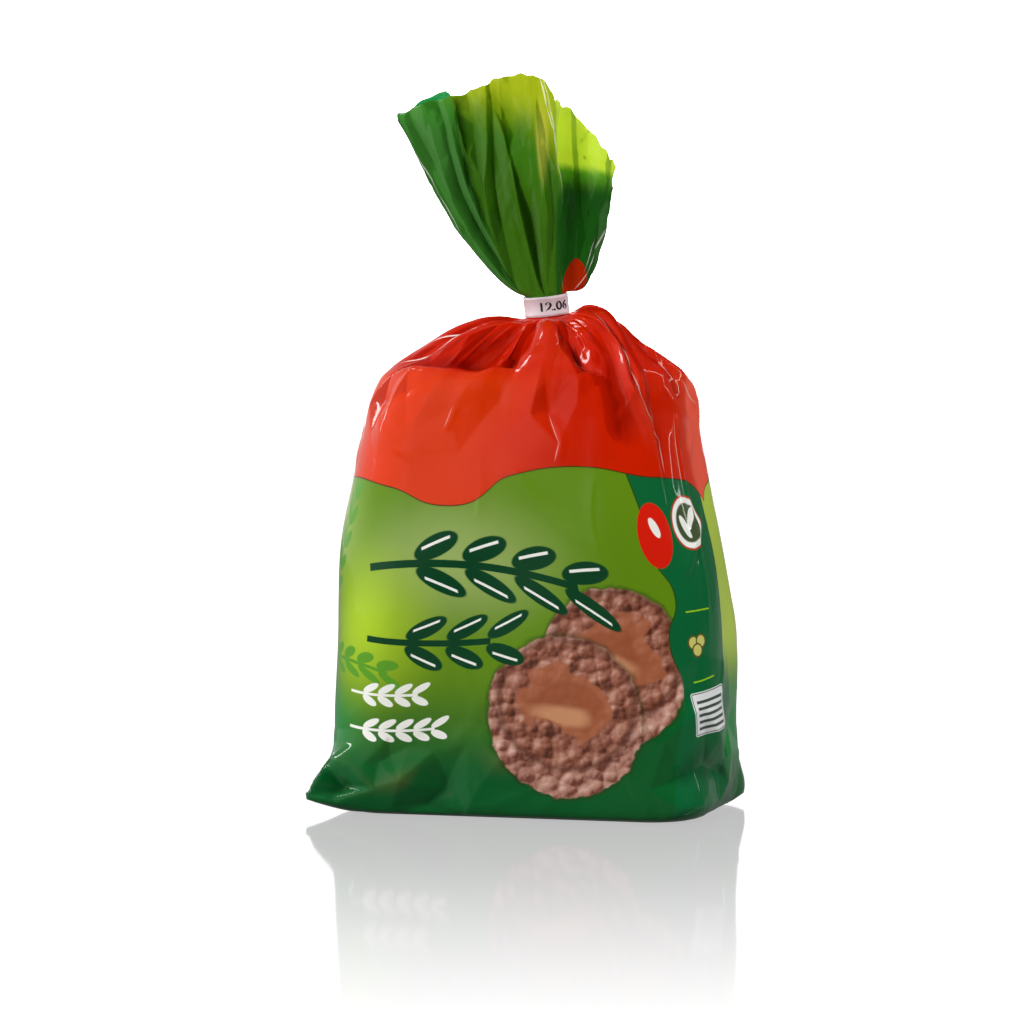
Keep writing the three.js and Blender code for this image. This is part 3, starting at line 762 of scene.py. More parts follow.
def tape_rings():
    """The rings of the tape, which swell where its end lies over its start and sag a little."""
    angle = np.arange(BAND_COLUMNS) / BAND_COLUMNS * 2 * np.pi
    lap = smoothstep(angle, LAP_START - LAP_BLEND, LAP_START + LAP_BLEND)
    lap = lap * (1 - smoothstep(angle, LAP_END - LAP_BLEND, LAP_END + LAP_BLEND))
    sag = 0.12 * np.sin(3 * angle + 0.8) + 0.06 * np.sin(7 * angle)
    rings = []
    for share, height in BAND_SECTION:
        radius = BAND_INNER + share * BAND_THICKNESS + (share > 0.2) * lap * LAP_RISE
        rings.append(on_band(angle, radius, np.full(BAND_COLUMNS, height) + sag * (0.2 < height < 7.6)))
    return np.concatenate(rings)


def build_band(tape, stamp_ink):
    rings = tape_rings()
    faces = (tube_faces(len(BAND_SECTION) + 1, BAND_COLUMNS) % len(rings)).tolist()
    corners, digits = stamp_mesh()
    toward = math.atan2(-ACROSS[0], ACROSS[1])
    around = toward + lerp(STAMP_START, STAMP_END, corners[:, 0])
    height = BAND_HEIGHT / 2 + STAMP_HEIGHT * (corners[:, 1] - 0.5)
    printed = on_band(around, np.full(len(corners), BAND_INNER + FACE * BAND_THICKNESS + STAMP_RISE), height)
    kinds = [0] * len(faces) + [1] * len(digits)
    faces += [[len(rings) + k for k in face] for face in digits]
    make_piece("closure_band", np.concatenate([rings, printed]), faces, "neck_band",
               [tape, stamp_ink], face_material=kinds)


# ---- Shader fields ----

def ink(red, green, blue):
    """A colour given from 0 to 255 as seen, turned into the light that it sends back."""
    seen = np.array([red, green, blue]) / 255
    linear = np.where(seen <= 0.04045, seen / 12.92, ((seen + 0.055) / 1.055) ** 2.4)
    return (*linear.tolist(), 1.0)


def feed(node, inputs):
    """Gives inputs of a node a number, a colour, or the result of a field, a paint or a node."""
    for name, value in inputs.items():
        if isinstance(value, (Field, Paint)):
            value = value.socket
        if isinstance(value, bpy.types.Node):
            value = value.outputs[0]
        if isinstance(value, bpy.types.NodeSocket):
            node.id_data.links.new(value, node.inputs[name])
        else:
            node.inputs[name].default_value = value
    return node


class Field:
    """A number that changes over the surface, built up as nodes of a material."""

    def __init__(self, socket):
        self.tree, self.socket = socket.id_data, socket

    def math(self, operation, *others):
        node = self.tree.nodes.new("ShaderNodeMath")
        node.operation = operation
        feed(node, dict(enumerate((self, *others))))
        return Field(node.outputs[0])

    def __add__(self, other):
        return self.math("ADD", other)

    def __sub__(self, other):
        return self.math("SUBTRACT", other)

    def __mul__(self, other):
        return self.math("MULTIPLY", other)

    def __truediv__(self, other):
        return self.math("DIVIDE", other)

    def abs(self):
        return self.math("ABSOLUTE")

    def over(self, edge, blur):
        """1 where the field is over the edge, 0 where it is under, with a soft change between."""
        node = self.tree.nodes.new("ShaderNodeMapRange")
        node.interpolation_type = "SMOOTHSTEP"
        feed(node, {"Value": self, "From Min": edge - blur, "From Max": edge + blur})
        return Field(node.outputs["Result"])

    def under(self, edge, blur):
        return (self.over(edge, blur) * -1) + 1

    def near(self, middle, reach, blur):
        """1 within reach of a middle value."""
        return (self - middle).abs().under(reach, blur)


def both(first, *masks):
    for mask in masks:
        first = first * mask
    return first


def squares(a, b):
    return a * a + b * b


def along(place, direction):
    """How far a place or a direction reaches along another direction."""
    node = place.id_data.nodes.new("ShaderNodeVectorMath")
    node.operation = "DOT_PRODUCT"
    feed(node, {0: place, 1: direction})
    return Field(node.outputs["Value"])


def texture(kind, x, y, size):
    node = x.tree.nodes.new(kind)
    place = feed(x.tree.nodes.new("ShaderNodeCombineXYZ"), {0: x, 1: y})
    return feed(node, {"Vector": place, "Scale": 1 / size})


def noise(x, y, size, detail=2.0):
    """Cloudy noise from 0 to 1 whose lumps are about that size."""
    return Field(feed(texture("ShaderNodeTexNoise", x, y, size), {"Detail": detail}).outputs["Fac"])


def cells(x, y, size):
    """Distance from the middles of scattered cells of that size."""
    return Field(texture("ShaderNodeTexVoronoi", x, y, size).outputs["Distance"])


def turned(x, y, middle, angle):
    """The place measured from a middle point along axes turned by an angle in degrees."""
    c, s = math.cos(math.radians(angle)), math.sin(math.radians(angle))
    dx, dy = x - middle[0], y - middle[1]
    return dx * c + dy * s, dy * c - dx * s


def oval(x, y, middle, half_width, half_height, angle=0):
    """0 in the middle of an oval and 1 on its edge."""
    a, b = turned(x, y, middle, angle)
    return squares(a / half_width, b / half_height).math("SQRT")


def block(x, y, middle, half_width, half_height, corner, angle=0):
    """Distance outside a rounded block's edge, negative inside."""
    a, b = turned(x, y, middle, angle)
    a = (a.abs() - (half_width - corner)).math("MAXIMUM", 0.0)
    b = (b.abs() - (half_height - corner)).math("MAXIMUM", 0.0)
    return squares(a, b).math("SQRT") - corner


class Paint:
    """Layers of colour, each laid over those before it where its mask is 1."""

    def __init__(self, tree, colour):
        node = tree.nodes.new("ShaderNodeRGB")
        node.outputs[0].default_value = colour
        self.tree, self.socket = tree, node.outputs[0]

    def lay(self, colour, mask, way="MIX"):
        node = self.tree.nodes.new("ShaderNodeMix")
        node.data_type, node.blend_type = "RGBA", way
        self.socket = feed(node, {0: mask, 6: self, 7: colour}).outputs[2]
        return self

    def shade(self, colour, mask):
        """Darkens the layers so far, multiplied by a colour: painted shade."""
        return self.lay(colour, mask, "MULTIPLY")

    def shine(self, colour, mask):
        """Lightens the layers so far, screened with a colour: painted light or a painted highlight."""
        return self.lay(colour, mask, "SCREEN")


def mesh_field(tree, name):
    node = tree.nodes.new("ShaderNodeAttribute")
    node.attribute_name = name
    return Field(node.outputs["Fac"])


def film_place(tree):
    """Length round the film from the front middle, and length up it, in millimetres."""
    node = tree.nodes.new("ShaderNodeUVMap")
    node.uv_map = "film"
    u, v = (along(node.outputs[0], axis) * METRE for axis in (ALONG_X, ALONG_Y))
    return u - FILM_ROUND / 2, v


def object_place(tree):
    """Place across the part and up it, in millimetres."""
    place = tree.nodes.new("ShaderNodeTexCoord").outputs["Object"]
    return along(place, ALONG_X) * METRE, along(place, ALONG_Z) * METRE


# ---- The print ----

# The darker and the lighter red are painted shade and painted light on the red print.
RED, SHADED_RED, LIT_RED, RED_OUTLINE = ink(216, 54, 8), ink(196, 26, 0), ink(240, 92, 70), ink(70, 44, 16)
GREEN, GREEN_OUTLINE, DARK_GREEN = ink(96, 136, 20), ink(40, 70, 20), ink(8, 92, 40)
LIME, FAINT_GREEN, MOTIF_GREEN = ink(176, 200, 70), ink(88, 152, 38), ink(6, 62, 32)
SIDE_GREEN, SIDE_SHADOW = ink(14, 98, 52), ink(14, 92, 40)
LINE_GREEN, DISC, DISC_RIM = ink(150, 200, 30), ink(206, 200, 110), ink(90, 80, 30)
WHITE, LABEL, LABEL_INK = ink(238, 238, 230), ink(225, 228, 225), ink(70, 78, 74)
# The fan's top green and the right lobe's three greens are painted light and shade of light shining through
# from behind.
LEAF_GREEN, LEAF_TOP_BACKLIT, LEFT_GREEN = ink(84, 146, 26), ink(190, 202, 40), ink(84, 164, 66)
TEAL, AMBER = ink(60, 176, 112), ink(226, 216, 104)
LOBE_SHADED, LOBE_HALF_LIT, LOBE_LIT = ink(42, 120, 32), ink(118, 180, 48), ink(214, 232, 84)
CAKE_PIT, CAKE_LOW, CAKE_MIDDLE = ink(78, 42, 30), ink(138, 82, 64), ink(178, 122, 102)
CAKE_HIGH, CAKE_OUTLINE, RIM_SHADOW = ink(216, 172, 154), ink(40, 60, 24), ink(78, 42, 32)
RIM_PIT, RIM_MIDDLE, RIM_HIGH = ink(112, 62, 50), ink(186, 134, 116), ink(226, 190, 174)
GLAZE, GLAZE_DEEP, GLAZE_SHINE = ink(170, 98, 66), ink(146, 76, 46), ink(214, 154, 112)
TAPE, TAPE_SHADE = ink(218, 202, 206), ink(202, 186, 192)
STAMP_INK, STAMP_WORN = ink(16, 14, 16), ink(40, 36, 38)

# The wavy edges of the red top and of the dark side band, and the fan's edge of light: shares of
# a panel's width, of the print's height or of the lobe's width, and millimetres.
RED_EDGE = [(0, 127), (0.13, 136), (0.27, 133), (0.40, 126), (0.52, 138), (0.66, 142), (0.80, 138),
            (0.90, 136), (1, 127)]
SIDE_EDGE = [(0, 62), (0.22, 67), (0.36, 71), (0.5, 66), (0.6, 70), (0.7, 63), (0.85, 59), (1, 52)]
LOBE_EDGE = [(0, 57), (0.5, 64), (0.68, 72), (0.8, 82), (1, 92)]
# Ovals of colour, each laid over those before it: middle, half width, half height, turn in degrees,
# where it ends, as a share of its size, blur and strength. Clouds on the green ground come first.
CLOUDS = [
    (ink(24, 134, 62), (-92, 40), 46, 28, 0, 0.6, 0.4, 0.9),
    (ink(182, 208, 106), (-88, 116), 36, 34, 0, 0.4, 0.6, 0.8),
    (ink(158, 178, 104), (-18, 104), 62, 36, 0, 0.5, 0.5, 0.85),
    (ink(172, 204, 44), (-56, 78), 40, 42, 0, 0.5, 0.5, 0.9),
]
# The badge with its grain, and the seal with its two grains, on the side band.
SIGNS = [
    (ink(214, 30, 14), (64.5, 115), 7.4, 12.8, 4, 1, 0.03, 1),
    (WHITE, (64.5, 118), 1.7, 4.2, 24, 1, 0.08, 1),
    (ink(190, 40, 30), (82.5, 119.5), 9.5, 10.8, 0, 1, 0.03, 1),
    (WHITE, (82.5, 119.5), 9.5, 10.8, 0, 0.93, 0.03, 1),
    (ink(66, 82, 50), (82.5, 119.5), 9.5, 10.8, 0, 0.72, 0.04, 1),
    (WHITE, (80.4, 118), 1.7, 5, 28, 1, 0.08, 1), (WHITE, (84.6, 121), 1.7, 5, -28, 1, 0.08, 1),
]
# Ears of rice: root, heading in degrees, length, bend, size and colours.
FAINT_EARS = [
    ((-90, 84), 52, 50, 0.006, 8, FAINT_GREEN), ((-98, 62), 14, 50, -0.006, 8, FAINT_GREEN),
]
BOLD_EARS = [
    ((-55, 101), 9, 84, -0.0028, 17, MOTIF_GREEN, WHITE), ((-55, 73), -6, 50, 0.0022, 14, MOTIF_GREEN, WHITE),
    ((-64, 52), -8, 30, 0.004, 6, WHITE), ((-64, 38), -8, 36, 0.004, 6, WHITE),
]
CAKES = [((44, 64), 29), ((24, 44), 30)]
# Lines, discs and the barred label below them: where, in the panel's millimetres, and their turn.
SIDE_LINES = [((80, 85.5), 4), ((82, 58.5), 10)]
DISCS = [(76.5, 73), (80.5, 73.6), (78.5, 70)]
LABEL_PLACE, LABEL_TILT, LABEL_PITCH = (85.5, 46), 8, 2.6
# Painted shade in the pocket and the notch of the front shoulder: middle, half width and half height.
POCKET_SHADE, NOTCH_SHADE = ((-42, 185.5), 22, 5), ((33.5, 188), 3.4, 8)


def curve_of(field, knots, low, high):
    """A smooth function of a field from 0 to 1, through knots whose values lie from low to high."""
    node = field.tree.nodes.new("ShaderNodeFloatCurve")
    line = node.mapping.curves[0]
    while len(line.points) < len(knots):
        line.points.new(0.5, 0.5)
    for point, (x, y) in zip(line.points, knots):
        point.location = (x, (y - low) / (high - low))
    node.mapping.update()
    feed(node, {"Value": field})
    return Field(node.outputs[0]) * (high - low) + low


def lay_ovals(paint, x, y, ovals):
    for colour, middle, half_width, half_height, angle, edge, blur, strength in ovals:
        mask = oval(x, y, middle, half_width, half_height, angle).under(edge, blur)
        paint.lay(colour, mask * strength)


def rice_ear(paint, w, v, root, angle, length, bend, size, colour, glint=None):
    """A stalk that bends, with pairs of grains along its outer three quarters."""
    s, t = turned(w, v, root, angle)
    t = t - s * s * bend
    stalk = both(t.abs().under(0.09 * size, 0.12), s.over(0, 0.2), s.under(length, 0.2))
    pitch = 1.15 * size
    q = s - s.math("SNAP", pitch) - pitch / 2
    spread = (t.abs() - 0.42 * size) - q * 0.42
    grain = squares(q / (0.56 * size), spread / (0.27 * size))
    first, last = round(0.22 * length / pitch) * pitch, math.ceil(length / pitch) * pitch
    span = both(s.over(first, 0.05), s.under(last, 0.05))
    paint.lay(colour, stalk).lay(colour, both(grain.under(1, 0.12), span))
    if glint:
        line = spread.near(0.07 * size, 0.035 * size, 0.08)
        paint.lay(glint, both(line, q.abs().under(0.36 * size, 0.3), span))


def rice_cake(paint, w, v, middle, radius):
    """A puffed rice cake seen a little from above: lumpy rim below, top face of puffed grains."""
    x, y = middle
    ragged = (noise(w, v, 7, 3.0) - 0.5) * 0.16
    outside = oval(w, v, middle, radius, radius * 1.06) + ragged
    top = oval(w, v, (x + 0.8, y + radius * 0.17), radius * 0.9, radius * 0.86) + ragged
    lump, shifted = cells(w, v, 5.2), cells(w - 1.1, v + 1.1, 5.2)
    small, small_shifted = cells(w, v, 2.6), cells(w - 0.5, v + 0.5, 2.6)
    relief = (shifted - lump) * 0.9 + (small_shifted - small) * 0.5 + 0.5
    relief = relief - lump * 0.22 + noise(w, v, 3, 4.0) * 0.3
    cake = Paint(paint.tree, CAKE_PIT)
    for colour, edge, blur in ((CAKE_LOW, 0.32, 0.2), (CAKE_MIDDLE, 0.62, 0.22), (CAKE_HIGH, 0.92, 0.25)):
        cake.lay(colour, relief.over(edge, blur))
    blot = (noise(w, v, 13, 1.5) - 0.5) * 1.5
    glaze = oval(w, v, (x + 1, y + radius * 0.2), radius * 0.66, radius * 0.5, -12) + blot
    cake.lay(GLAZE, glaze.under(0.9, 0.05) * 0.8)
    cake.lay(GLAZE_DEEP, glaze.under(0.62, 0.12) * 0.6)
    shine = oval(w, v, (x - 2, y + radius * 0.02), radius * 0.42, radius * 0.16, -8) + blot * 0.5
    cake.lay(GLAZE_SHINE, both(shine.under(0.8, 0.35), glaze.under(0.85, 0.05)) * 0.75)
    rim = Paint(paint.tree, RIM_PIT)
    rim.lay(RIM_MIDDLE, relief.over(0.45, 0.25)).lay(RIM_HIGH, relief.over(0.85, 0.25))
    cake.lay(rim, top.over(1, 0.05))
    cake.lay(RIM_SHADOW, both(top.over(0.93, 0.06), top.under(1.03, 0.05)) * 0.55)
    paint.lay(CAKE_OUTLINE, outside.under(1.035, 0.04) * 0.6)
    paint.lay(cake, outside.under(1, 0.015))


def print_ground(paint, w, v):
    """The green ground with its clouds, faint ears, rice cakes and bold ears."""
    drift = (noise(w, v, 30) - 0.5) * 8
    paint.lay(GREEN, (v + drift).over(42, 24))
    lay_ovals(paint, w, v, CLOUDS)
    for ear in FAINT_EARS:
        rice_ear(paint, w, v, *ear)
    paint.lay(SIDE_SHADOW, both(w.over(38, 10), v.under(52, 8)))
    for middle, radius in CAKES:
        rice_cake(paint, w, v, middle, radius)
    for ear in BOLD_EARS:
        rice_ear(paint, w, v, *ear)


def print_side(paint, u, w, v):
    """The dark side band with its wavy front edge and small signs, and the lime strip beside it."""
    side = w - curve_of((v / 150).math("MINIMUM", 1.0), SIDE_EDGE, 40, 90)
    paint.lay(GREEN_OUTLINE, both(side.over(-0.4, 0.25), v.over(58, 8)))
    paint.lay(SIDE_GREEN, side.over(0.2, 0.2))
    strip = (u - (v - 70).abs() * 0.05).over(101, 0.4)
    paint.lay(LIME, both(strip, u.under(132, 0.4), v.over(64, 12)))
    lay_ovals(paint, w, v, SIGNS)
    for middle, tilt in SIDE_LINES:
        paint.lay(LINE_GREEN, block(w, v, middle, 6.2, 0.3, 0.2, tilt).under(0, 0.1))
    for middle in DISCS:
        disc = oval(w, v, middle, 2.5, 2.6)
        paint.lay(DISC_RIM, disc.under(1.1, 0.08)).lay(DISC, disc.under(0.85, 0.1))
    label = block(w, v, LABEL_PLACE, 10.5, 8.6, 1, LABEL_TILT)
    paint.lay(LABEL, label.under(0, 0.15))
    _, up = turned(w, v, LABEL_PLACE, LABEL_TILT)
    stripes = (up / LABEL_PITCH).math("FRACT").over(0.55, 0.06)
    barred = block(w, v, LABEL_PLACE, 8.4, 6.6, 0.6, LABEL_TILT).under(0, 0.1)
    paint.lay(LABEL_INK, both(barred, stripes))
    paint.lay(LABEL_INK, both(label.over(-0.75, 0.12), label.under(-0.4, 0.12)))


def red_top_print_and_shading(paint, u, w, v):
    """The red top with its dark outline, painted shade at its right and round the neck, and painted light at
    its far right.
    """
    up = v - curve_of((w + PANEL / 2) / PANEL, RED_EDGE, 110, 150)
    red = Paint(paint.tree, RED)
    # Painted shade: the red darker at its right, and on the next line round the neck.
    red.lay(SHADED_RED, both((w + (noise(w, v, 40) - 0.5) * 50).over(2, 30), w.under(92, 15)) * 0.9)
    red.lay(SHADED_RED, (v + noise(w, v, 22) * 8).over(182, 4) * 0.95)
    # Painted light: the far right of the red, lit from behind.
    lit = (u - (v - 150).abs() * 0.2).over(98, 4)
    red.lay(LIT_RED, both(lit, u.under(134, 6), v.under(196, 8)) * 0.8)
    paint.lay(RED_OUTLINE, up.over(-0.35, 0.2)).lay(red, up.over(0.15, 0.2))


def shade_walls(paint, u, v):
    """Painted light and shade: light and dark flanks of the creases, painted shade in deep folds, pocket and
    notch, light on crests.
    """
    relief, tilt = mesh_field(paint.tree, "relief"), mesh_field(paint.tree, "tilt")
    high, low = v.over(150, 8), v.under(40, 6) * 0.45
    paint.shade(ink(222, 200, 196), both(high + low, tilt.under(-0.16, 0.05)))
    paint.shine(ink(64, 12, 4), both(high, tilt.over(0.16, 0.05)))
    paint.shine(ink(36, 48, 34), both(low, tilt.over(0.16, 0.05)))
    paint.shade(ink(222, 176, 168), oval(u, v, *POCKET_SHADE).under(0.75, 0.4))
    paint.shade(ink(200, 140, 130), oval(u, v, *NOTCH_SHADE).under(0.75, 0.4))
    paint.shade(ink(230, 216, 214), relief.under(-0.9, 0.6))
    paint.shade(ink(214, 176, 168), both(high, relief.under(-2.6, 1.0)))
    paint.shine(ink(62, 26, 14), relief.over(1.9, 0.9))


def body_print_and_shading(tree):
    """The print of the walls, the same panel on the front and on the back, with painted light, shade and
    highlights laid over it.
    """
    u, v = film_place(tree)
    w = u.math("WRAP", PANEL / 2, -PANEL / 2)
    paint = Paint(tree, DARK_GREEN)
    print_ground(paint, w, v)
    print_side(paint, u, w, v)
    red_top_print_and_shading(paint, u, w, v)
    shade_walls(paint, u, v)
    lay_glints(paint, u, v, ROOF_GLINTS, 1.0)
    lay_glints(paint, u, v, WALL_GLINTS, 0.35)
    return paint, u, v


# Painted highlights along creases: the places that they join, as length round the film and up it, and half
# width.
ROOF_GLINTS = [
    ([(-80, 182), (-70, 190), (-62, 196)], 0.5), ([(-88, 184), (-84, 192), (-76, 200)], 0.5),
    ([(-70, 197), (-60, 203)], 0.4), ([(-98, 176), (-96, 186)], 0.5),
]
WALL_GLINTS = [
    ([(69.3, 205), (67.2, 196.8), (61, 180), (64.5, 168), (73.9, 152)], 0.35),
    ([(73.9, 152), (74, 140)], 0.3), ([(85, 160), (84, 128)], 0.3), ([(98, 176), (114, 166)], 0.4),
    ([(21, 162), (27, 151), (24.7, 144)], 0.25), ([(-27, 164.6), (-28, 157)], 0.25),
    ([(150, 190), (158, 172), (156, 150)], 0.4), ([(-130, 188), (-140, 170), (-138, 150)], 0.4),
]
FAN_GLINTS = [
    ([(39, 96), (47.8, 83.3), (57.8, 77.2), (63.2, 66.2), (71, 52)], 1.0),
    ([(43, 95), (53, 86), (61, 77), (66, 68)], 0.7), ([(48, 88), (56, 81), (64, 69)], 0.5),
    ([(141, 46), (138, 28), (131, 12), (122, 1)], 0.9), ([(134, 36), (127, 14)], 0.6),
    ([(71, 52), (76, 30), (74, 6)], 0.3), ([(-108, 76), (-104, 54), (-100, 34)], 0.5),
]


# Paints each path as a white painted highlight, screened over the colours so far.
def lay_glints(paint, u, height, glints, strength):
    for path, width in glints:
        for (a, b), (c, d) in zip(path, path[1:]):
            middle, tilt = ((a + c) / 2, (b + d) / 2), math.degrees(math.atan2(d - b, c - a))
            line = oval(u, height, middle, math.hypot(c - a, d - b) * 0.56, width, tilt)
            paint.shine(WHITE, line.under(0.8, 0.4) * strength)


def fan_print_and_shading(tree):
    """The loose film: green print with a red foot at the back right, painted light from behind, and painted
    shade and highlights.
    """
    u, v = film_place(tree)
    height = v - WALL_LENGTH - FAN_START
    rise = height + (noise(u, v, 24) - 0.5) * 12
    paint = Paint(tree, LEAF_GREEN)
    # Painted light: lighter towards the cut edge, where light shines through the film from behind.
    paint.lay(LEAF_TOP_BACKLIT, (rise - (u - 60).abs() * 0.22).over(67, 14))
    paint.lay(AMBER, oval(u, height, (41, 66), 11, 24).under(0.6, 0.4) * 0.75)
    left = u + noise(u, v, 12) * 10
    paint.lay(LEFT_GREEN, both(left.under(-58, 12), left.over(-200, 30)) * 0.9)
    paint.lay(TEAL, both(left.under(-122, 6), left.over(-190, 14)) * 0.8)
    # Painted light and shade on the right lobe: dark below, brighter above a wavy edge of light shining
    # through from behind.
    lobe = both(u.over(62, 5), u.under(172, 16))
    share = ((u - 50) / 110).math("MAXIMUM", 0.0).math("MINIMUM", 1.0)
    past = height - curve_of(share, LOBE_EDGE, 50, 100) + (noise(u, v, 16) - 0.5) * 7
    paint.lay(LOBE_SHADED, lobe)
    paint.lay(LOBE_HALF_LIT, both(lobe, past.over(-6, 8)))
    paint.lay(LOBE_LIT, both(lobe, past.over(2, 3)))
    relief, tilt = mesh_field(tree, "relief"), mesh_field(tree, "tilt")
    # Painted shade on facets that face away from the light and in deep folds, painted light on facets that
    # face it.
    paint.shade(ink(206, 220, 194), tilt.under(-0.14, 0.04))
    paint.shade(ink(214, 226, 204), tilt.under(-0.5, 0.06))
    paint.shine(ink(60, 70, 54), tilt.over(0.14, 0.04))
    paint.shade(ink(216, 228, 206), relief.under(-3.0, 1.0))
    across = (u - 116) / 23
    paint.lay(RED, (height + across * across * 19).under(19, 0.4))
    paint.lay(RED, height.under(-3, 0.5))
    lay_glints(paint, u, height, FAN_GLINTS, 0.9)
    return paint, u, v


# ---- Materials ----

def new_material(name):
    material = bpy.data.materials.new(name)
    material.use_nodes = True
    tree = material.node_tree
    tree.nodes.clear()
    shader = tree.nodes.new("ShaderNodeBsdfPrincipled")
    output = feed(tree.nodes.new("ShaderNodeOutputMaterial"), {"Surface": shader})
    return material, shader, output


def raise_grain(shader, height, strength, distance):
    """Bumps a shader by a field, so strongly and so many metres high."""
    node = height.tree.nodes.new("ShaderNodeBump")
    feed(node, {"Strength": strength, "Distance": distance, "Height": height})
    feed(shader, {"Normal": node})
    return node


def mix_in(output, shader, other, share):
    """Mixes a share of another shader with the first, on the way to the output."""
    node = output.id_data.nodes.new("ShaderNodeMixShader")
    feed(output, {"Surface": feed(node, {0: share, 1: shader, 2: other})})


def film_finish(shader, paint, u, v, crinkle_height):
    """Glossy film with fine crinkles and a faint grain."""
    feed(shader, {"Base Color": paint, "Roughness": noise(u, v, 15) * 0.12 + 0.26, "IOR": 1.12,
                  "Coat Weight": 0.8, "Coat Roughness": 0.08, "Coat IOR": 1.4})
    ridges = ((noise(u, v * 0.7, 4.5, 3.0) - 0.5).abs() * -2) + 1
    return raise_grain(shader, ridges * ridges + noise(u, v, 0.8, 1.0) * 0.08, 0.3, crinkle_height)


def body_material():
    material, shader, _ = new_material("printed_film_and_painted_shade")
    film_finish(shader, *body_print_and_shading(material.node_tree), 0.00025)
    return material


def fan_material():
    material, shader, output = new_material("loose_film")
    paint, u, v = fan_print_and_shading(material.node_tree)
    bumped = film_finish(shader, paint, u, v, 0.0003)
    through = material.node_tree.nodes.new("ShaderNodeBsdfTranslucent")
    mix_in(output, shader, feed(through, {"Color": paint, "Normal": bumped}), 0.52)
    return material


def tape_material():
    material, shader, _ = new_material("satin_tape")
    x, z = object_place(material.node_tree)
    paint = Paint(material.node_tree, TAPE).lay(TAPE_SHADE, noise(x, z, 5).over(0.5, 0.3))
    feed(shader, {"Base Color": paint, "Roughness": noise(x, z, 3) * 0.15 + 0.35})
    raise_grain(shader, noise(x, z * 6, 1.2), 0.2, 0.0001)
    return material


def ink_material():
    material, shader, _ = new_material("stamp_ink")
    x, z = object_place(material.node_tree)
    paint = Paint(material.node_tree, STAMP_INK).lay(STAMP_WORN, noise(x, z, 0.7).over(0.62, 0.1))
    feed(shader, {"Base Color": paint, "Roughness": 0.6})
    return material


build_wall(body_material())
build_fan(fan_material())
build_band(tape_material(), ink_material())

# ---- Studio ----

BACK_LIGHT, FRONT_LIGHT, TOP_LIGHT, BEHIND_LIGHT = 1.0, 0.06, 0.3, 3.0
MIRROR_LIGHT, MIRROR_LIGHT_RIGHT = 0.6, 0.06
# The table's glow under and before the bag is lower: a painted shadow.
TABLE_GLOW, TABLE_SHADOW_GLOW, TABLE_BOUNCE, TABLE_GLOSS = 1.15, 0.62, 0.12, 0.22
TABLE_HALF, TABLE_DROP = 8, 0.0002
LIT_HEIGHT = 0.12
CAMERA_TURN, CAMERA_RISE, CAMERA_DISTANCE, CAMERA_LENS = math.radians(16), math.radians(3), 1.8, 158.2
TARGET_SIDE, TARGET_HEIGHT = -0.0092, 0.1184
TARGET = Vector((TARGET_SIDE * math.cos(CAMERA_TURN), TARGET_SIDE * math.sin(CAMERA_TURN), TARGET_HEIGHT))
TOWARD = Vector((math.sin(CAMERA_TURN), -math.cos(CAMERA_TURN), 0))
RIGHTWARD = Vector((math.cos(CAMERA_TURN), math.sin(CAMERA_TURN), 0))
DARK_TURN = math.radians(38)
DARK_SIDE = TOWARD * math.cos(DARK_TURN) + RIGHTWARD * math.sin(DARK_TURN)
# Each softbox: metres to the right, towards the camera and up, width, height, watts, and whether
# the film mirrors it. A fill that isn't mirrored lights the print and leaves no image of itself.
SOFTBOXES = {
    "left_box": (-1.2, -0.35, 0.9, 0.1, 1.0, 6, True),
    "right_box": (1.2, -0.3, 0.8, 0.05, 1.0, 1.5, True),
    "fill_left": (-0.9, 1.2, 0.7, 0.8, 0.8, 20, False),
    "fill_right": (1.3, 0.3, 0.7, 0.8, 0.8, 15, False),
    "fill_back": (0.0, -1.5, 0.9, 1.2, 0.8, 40, False),
}


def add_camera():
    data = bpy.data.cameras.new("camera")
    data.sensor_width, data.lens = 36, CAMERA_LENS
    camera = add_object("camera", data)
    back = TOWARD * math.cos(CAMERA_RISE) + Vector((0, 0, math.sin(CAMERA_RISE)))
    camera.location = TARGET + back * CAMERA_DISTANCE
    camera.rotation_euler = (-back).to_track_quat("-Z", "Y").to_euler()
    bpy.context.scene.camera = camera


def add_softbox(name, right, toward, height, width, tall, watts, mirrored):
    """A rectangular softbox placed as the camera sees it, aimed at the bag."""
    data = bpy.data.lights.new(name, "AREA")
    data.shape, data.size, data.size_y, data.energy = "RECTANGLE", width, tall, watts
    light = add_object(name, data)
    light.location = RIGHTWARD * right + TOWARD * toward + Vector((0, 0, height))
    heading = Vector((0, 0, LIT_HEIGHT)) - light.location
    light.rotation_euler = heading.to_track_quat("-Z", "Y").to_euler()
    light.visible_glossy = mirrored


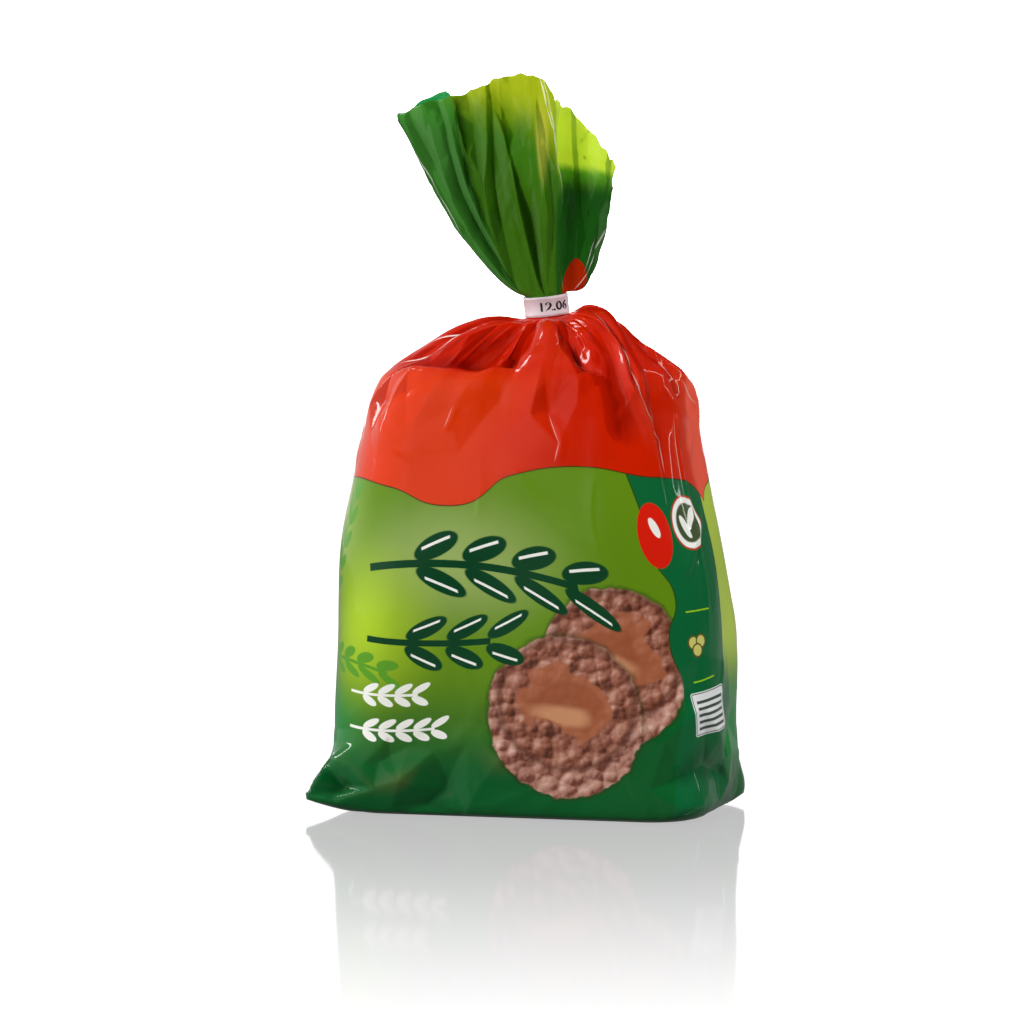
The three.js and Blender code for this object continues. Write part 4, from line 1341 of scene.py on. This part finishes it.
def add_world():
    """A studio that is bright to the left and behind, dim to the front right, on a white ground."""
    world = bpy.data.worlds.new("studio")
    world.use_nodes = True
    nodes = world.node_tree.nodes
    heading = nodes.new("ShaderNodeTexCoord").outputs["Generated"]
    path = nodes.new("ShaderNodeLightPath").outputs
    bright = along(heading, DARK_SIDE).under(0.22, 0.38)
    low = along(heading, ALONG_Z).under(0.45, 0.3) * (1 - TOP_LIGHT) + TOP_LIGHT
    light = bright * low * (BACK_LIGHT - FRONT_LIGHT) + FRONT_LIGHT
    rightness = along(heading, RIGHTWARD).over(-0.05, 0.2)
    dimmed = rightness * (MIRROR_LIGHT_RIGHT - MIRROR_LIGHT) + MIRROR_LIGHT
    light = light * (Field(path["Is Glossy Ray"]) * (dimmed - 1) + 1)
    light = light.math("MAXIMUM", along(heading, -TOWARD).over(0.97, 0.015) * BEHIND_LIGHT)
    light = light.math("MAXIMUM", Field(path["Is Camera Ray"]))
    feed(nodes["Background"], {"Strength": light, "Color": (1, 1, 1, 1)})
    bpy.context.scene.world = world


def table_material():
    """Glowing white, dimmer under and before the bag as a painted shadow, whose gloss mirrors the bag there
    and fades towards the camera.
    """
    material, shader, output = new_material("white_table")
    nodes = material.node_tree.nodes
    seen = Field(nodes.new("ShaderNodeLightPath").outputs["Is Camera Ray"])
    forward = along(nodes.new("ShaderNodeTexCoord").outputs["Object"], TOWARD)
    near = both(forward.under(0.40, 0.36), forward.over(-0.2, 0.12))
    glow = near * (TABLE_SHADOW_GLOW - TABLE_GLOW) + (TABLE_GLOW - TABLE_BOUNCE)
    feed(shader, {"Base Color": (0.05, 0.05, 0.05, 1), "Roughness": 1.0, "Specular IOR Level": 0.0,
                  "Emission Color": (1, 1, 1, 1), "Emission Strength": seen * glow + TABLE_BOUNCE})
    gloss = feed(nodes.new("ShaderNodeBsdfGlossy"), {"Roughness": 0.06})
    mix_in(output, shader, gloss, near * TABLE_GLOSS)
    return material


def add_floor():
    mesh = bpy.data.meshes.new("table")
    corners = [(-1, -1), (1, -1), (1, 1), (-1, 1)]
    mesh.from_pydata([(x * TABLE_HALF, y * TABLE_HALF, 0) for x, y in corners], [], [(0, 1, 2, 3)])
    mesh.materials.append(table_material())
    floor = add_object("table", mesh)
    floor.location.z = -TABLE_DROP


add_camera()
add_world()
add_floor()
for box, setting in SOFTBOXES.items():
    add_softbox(box, *setting)
bpy.context.scene.view_settings.view_transform = "Standard"
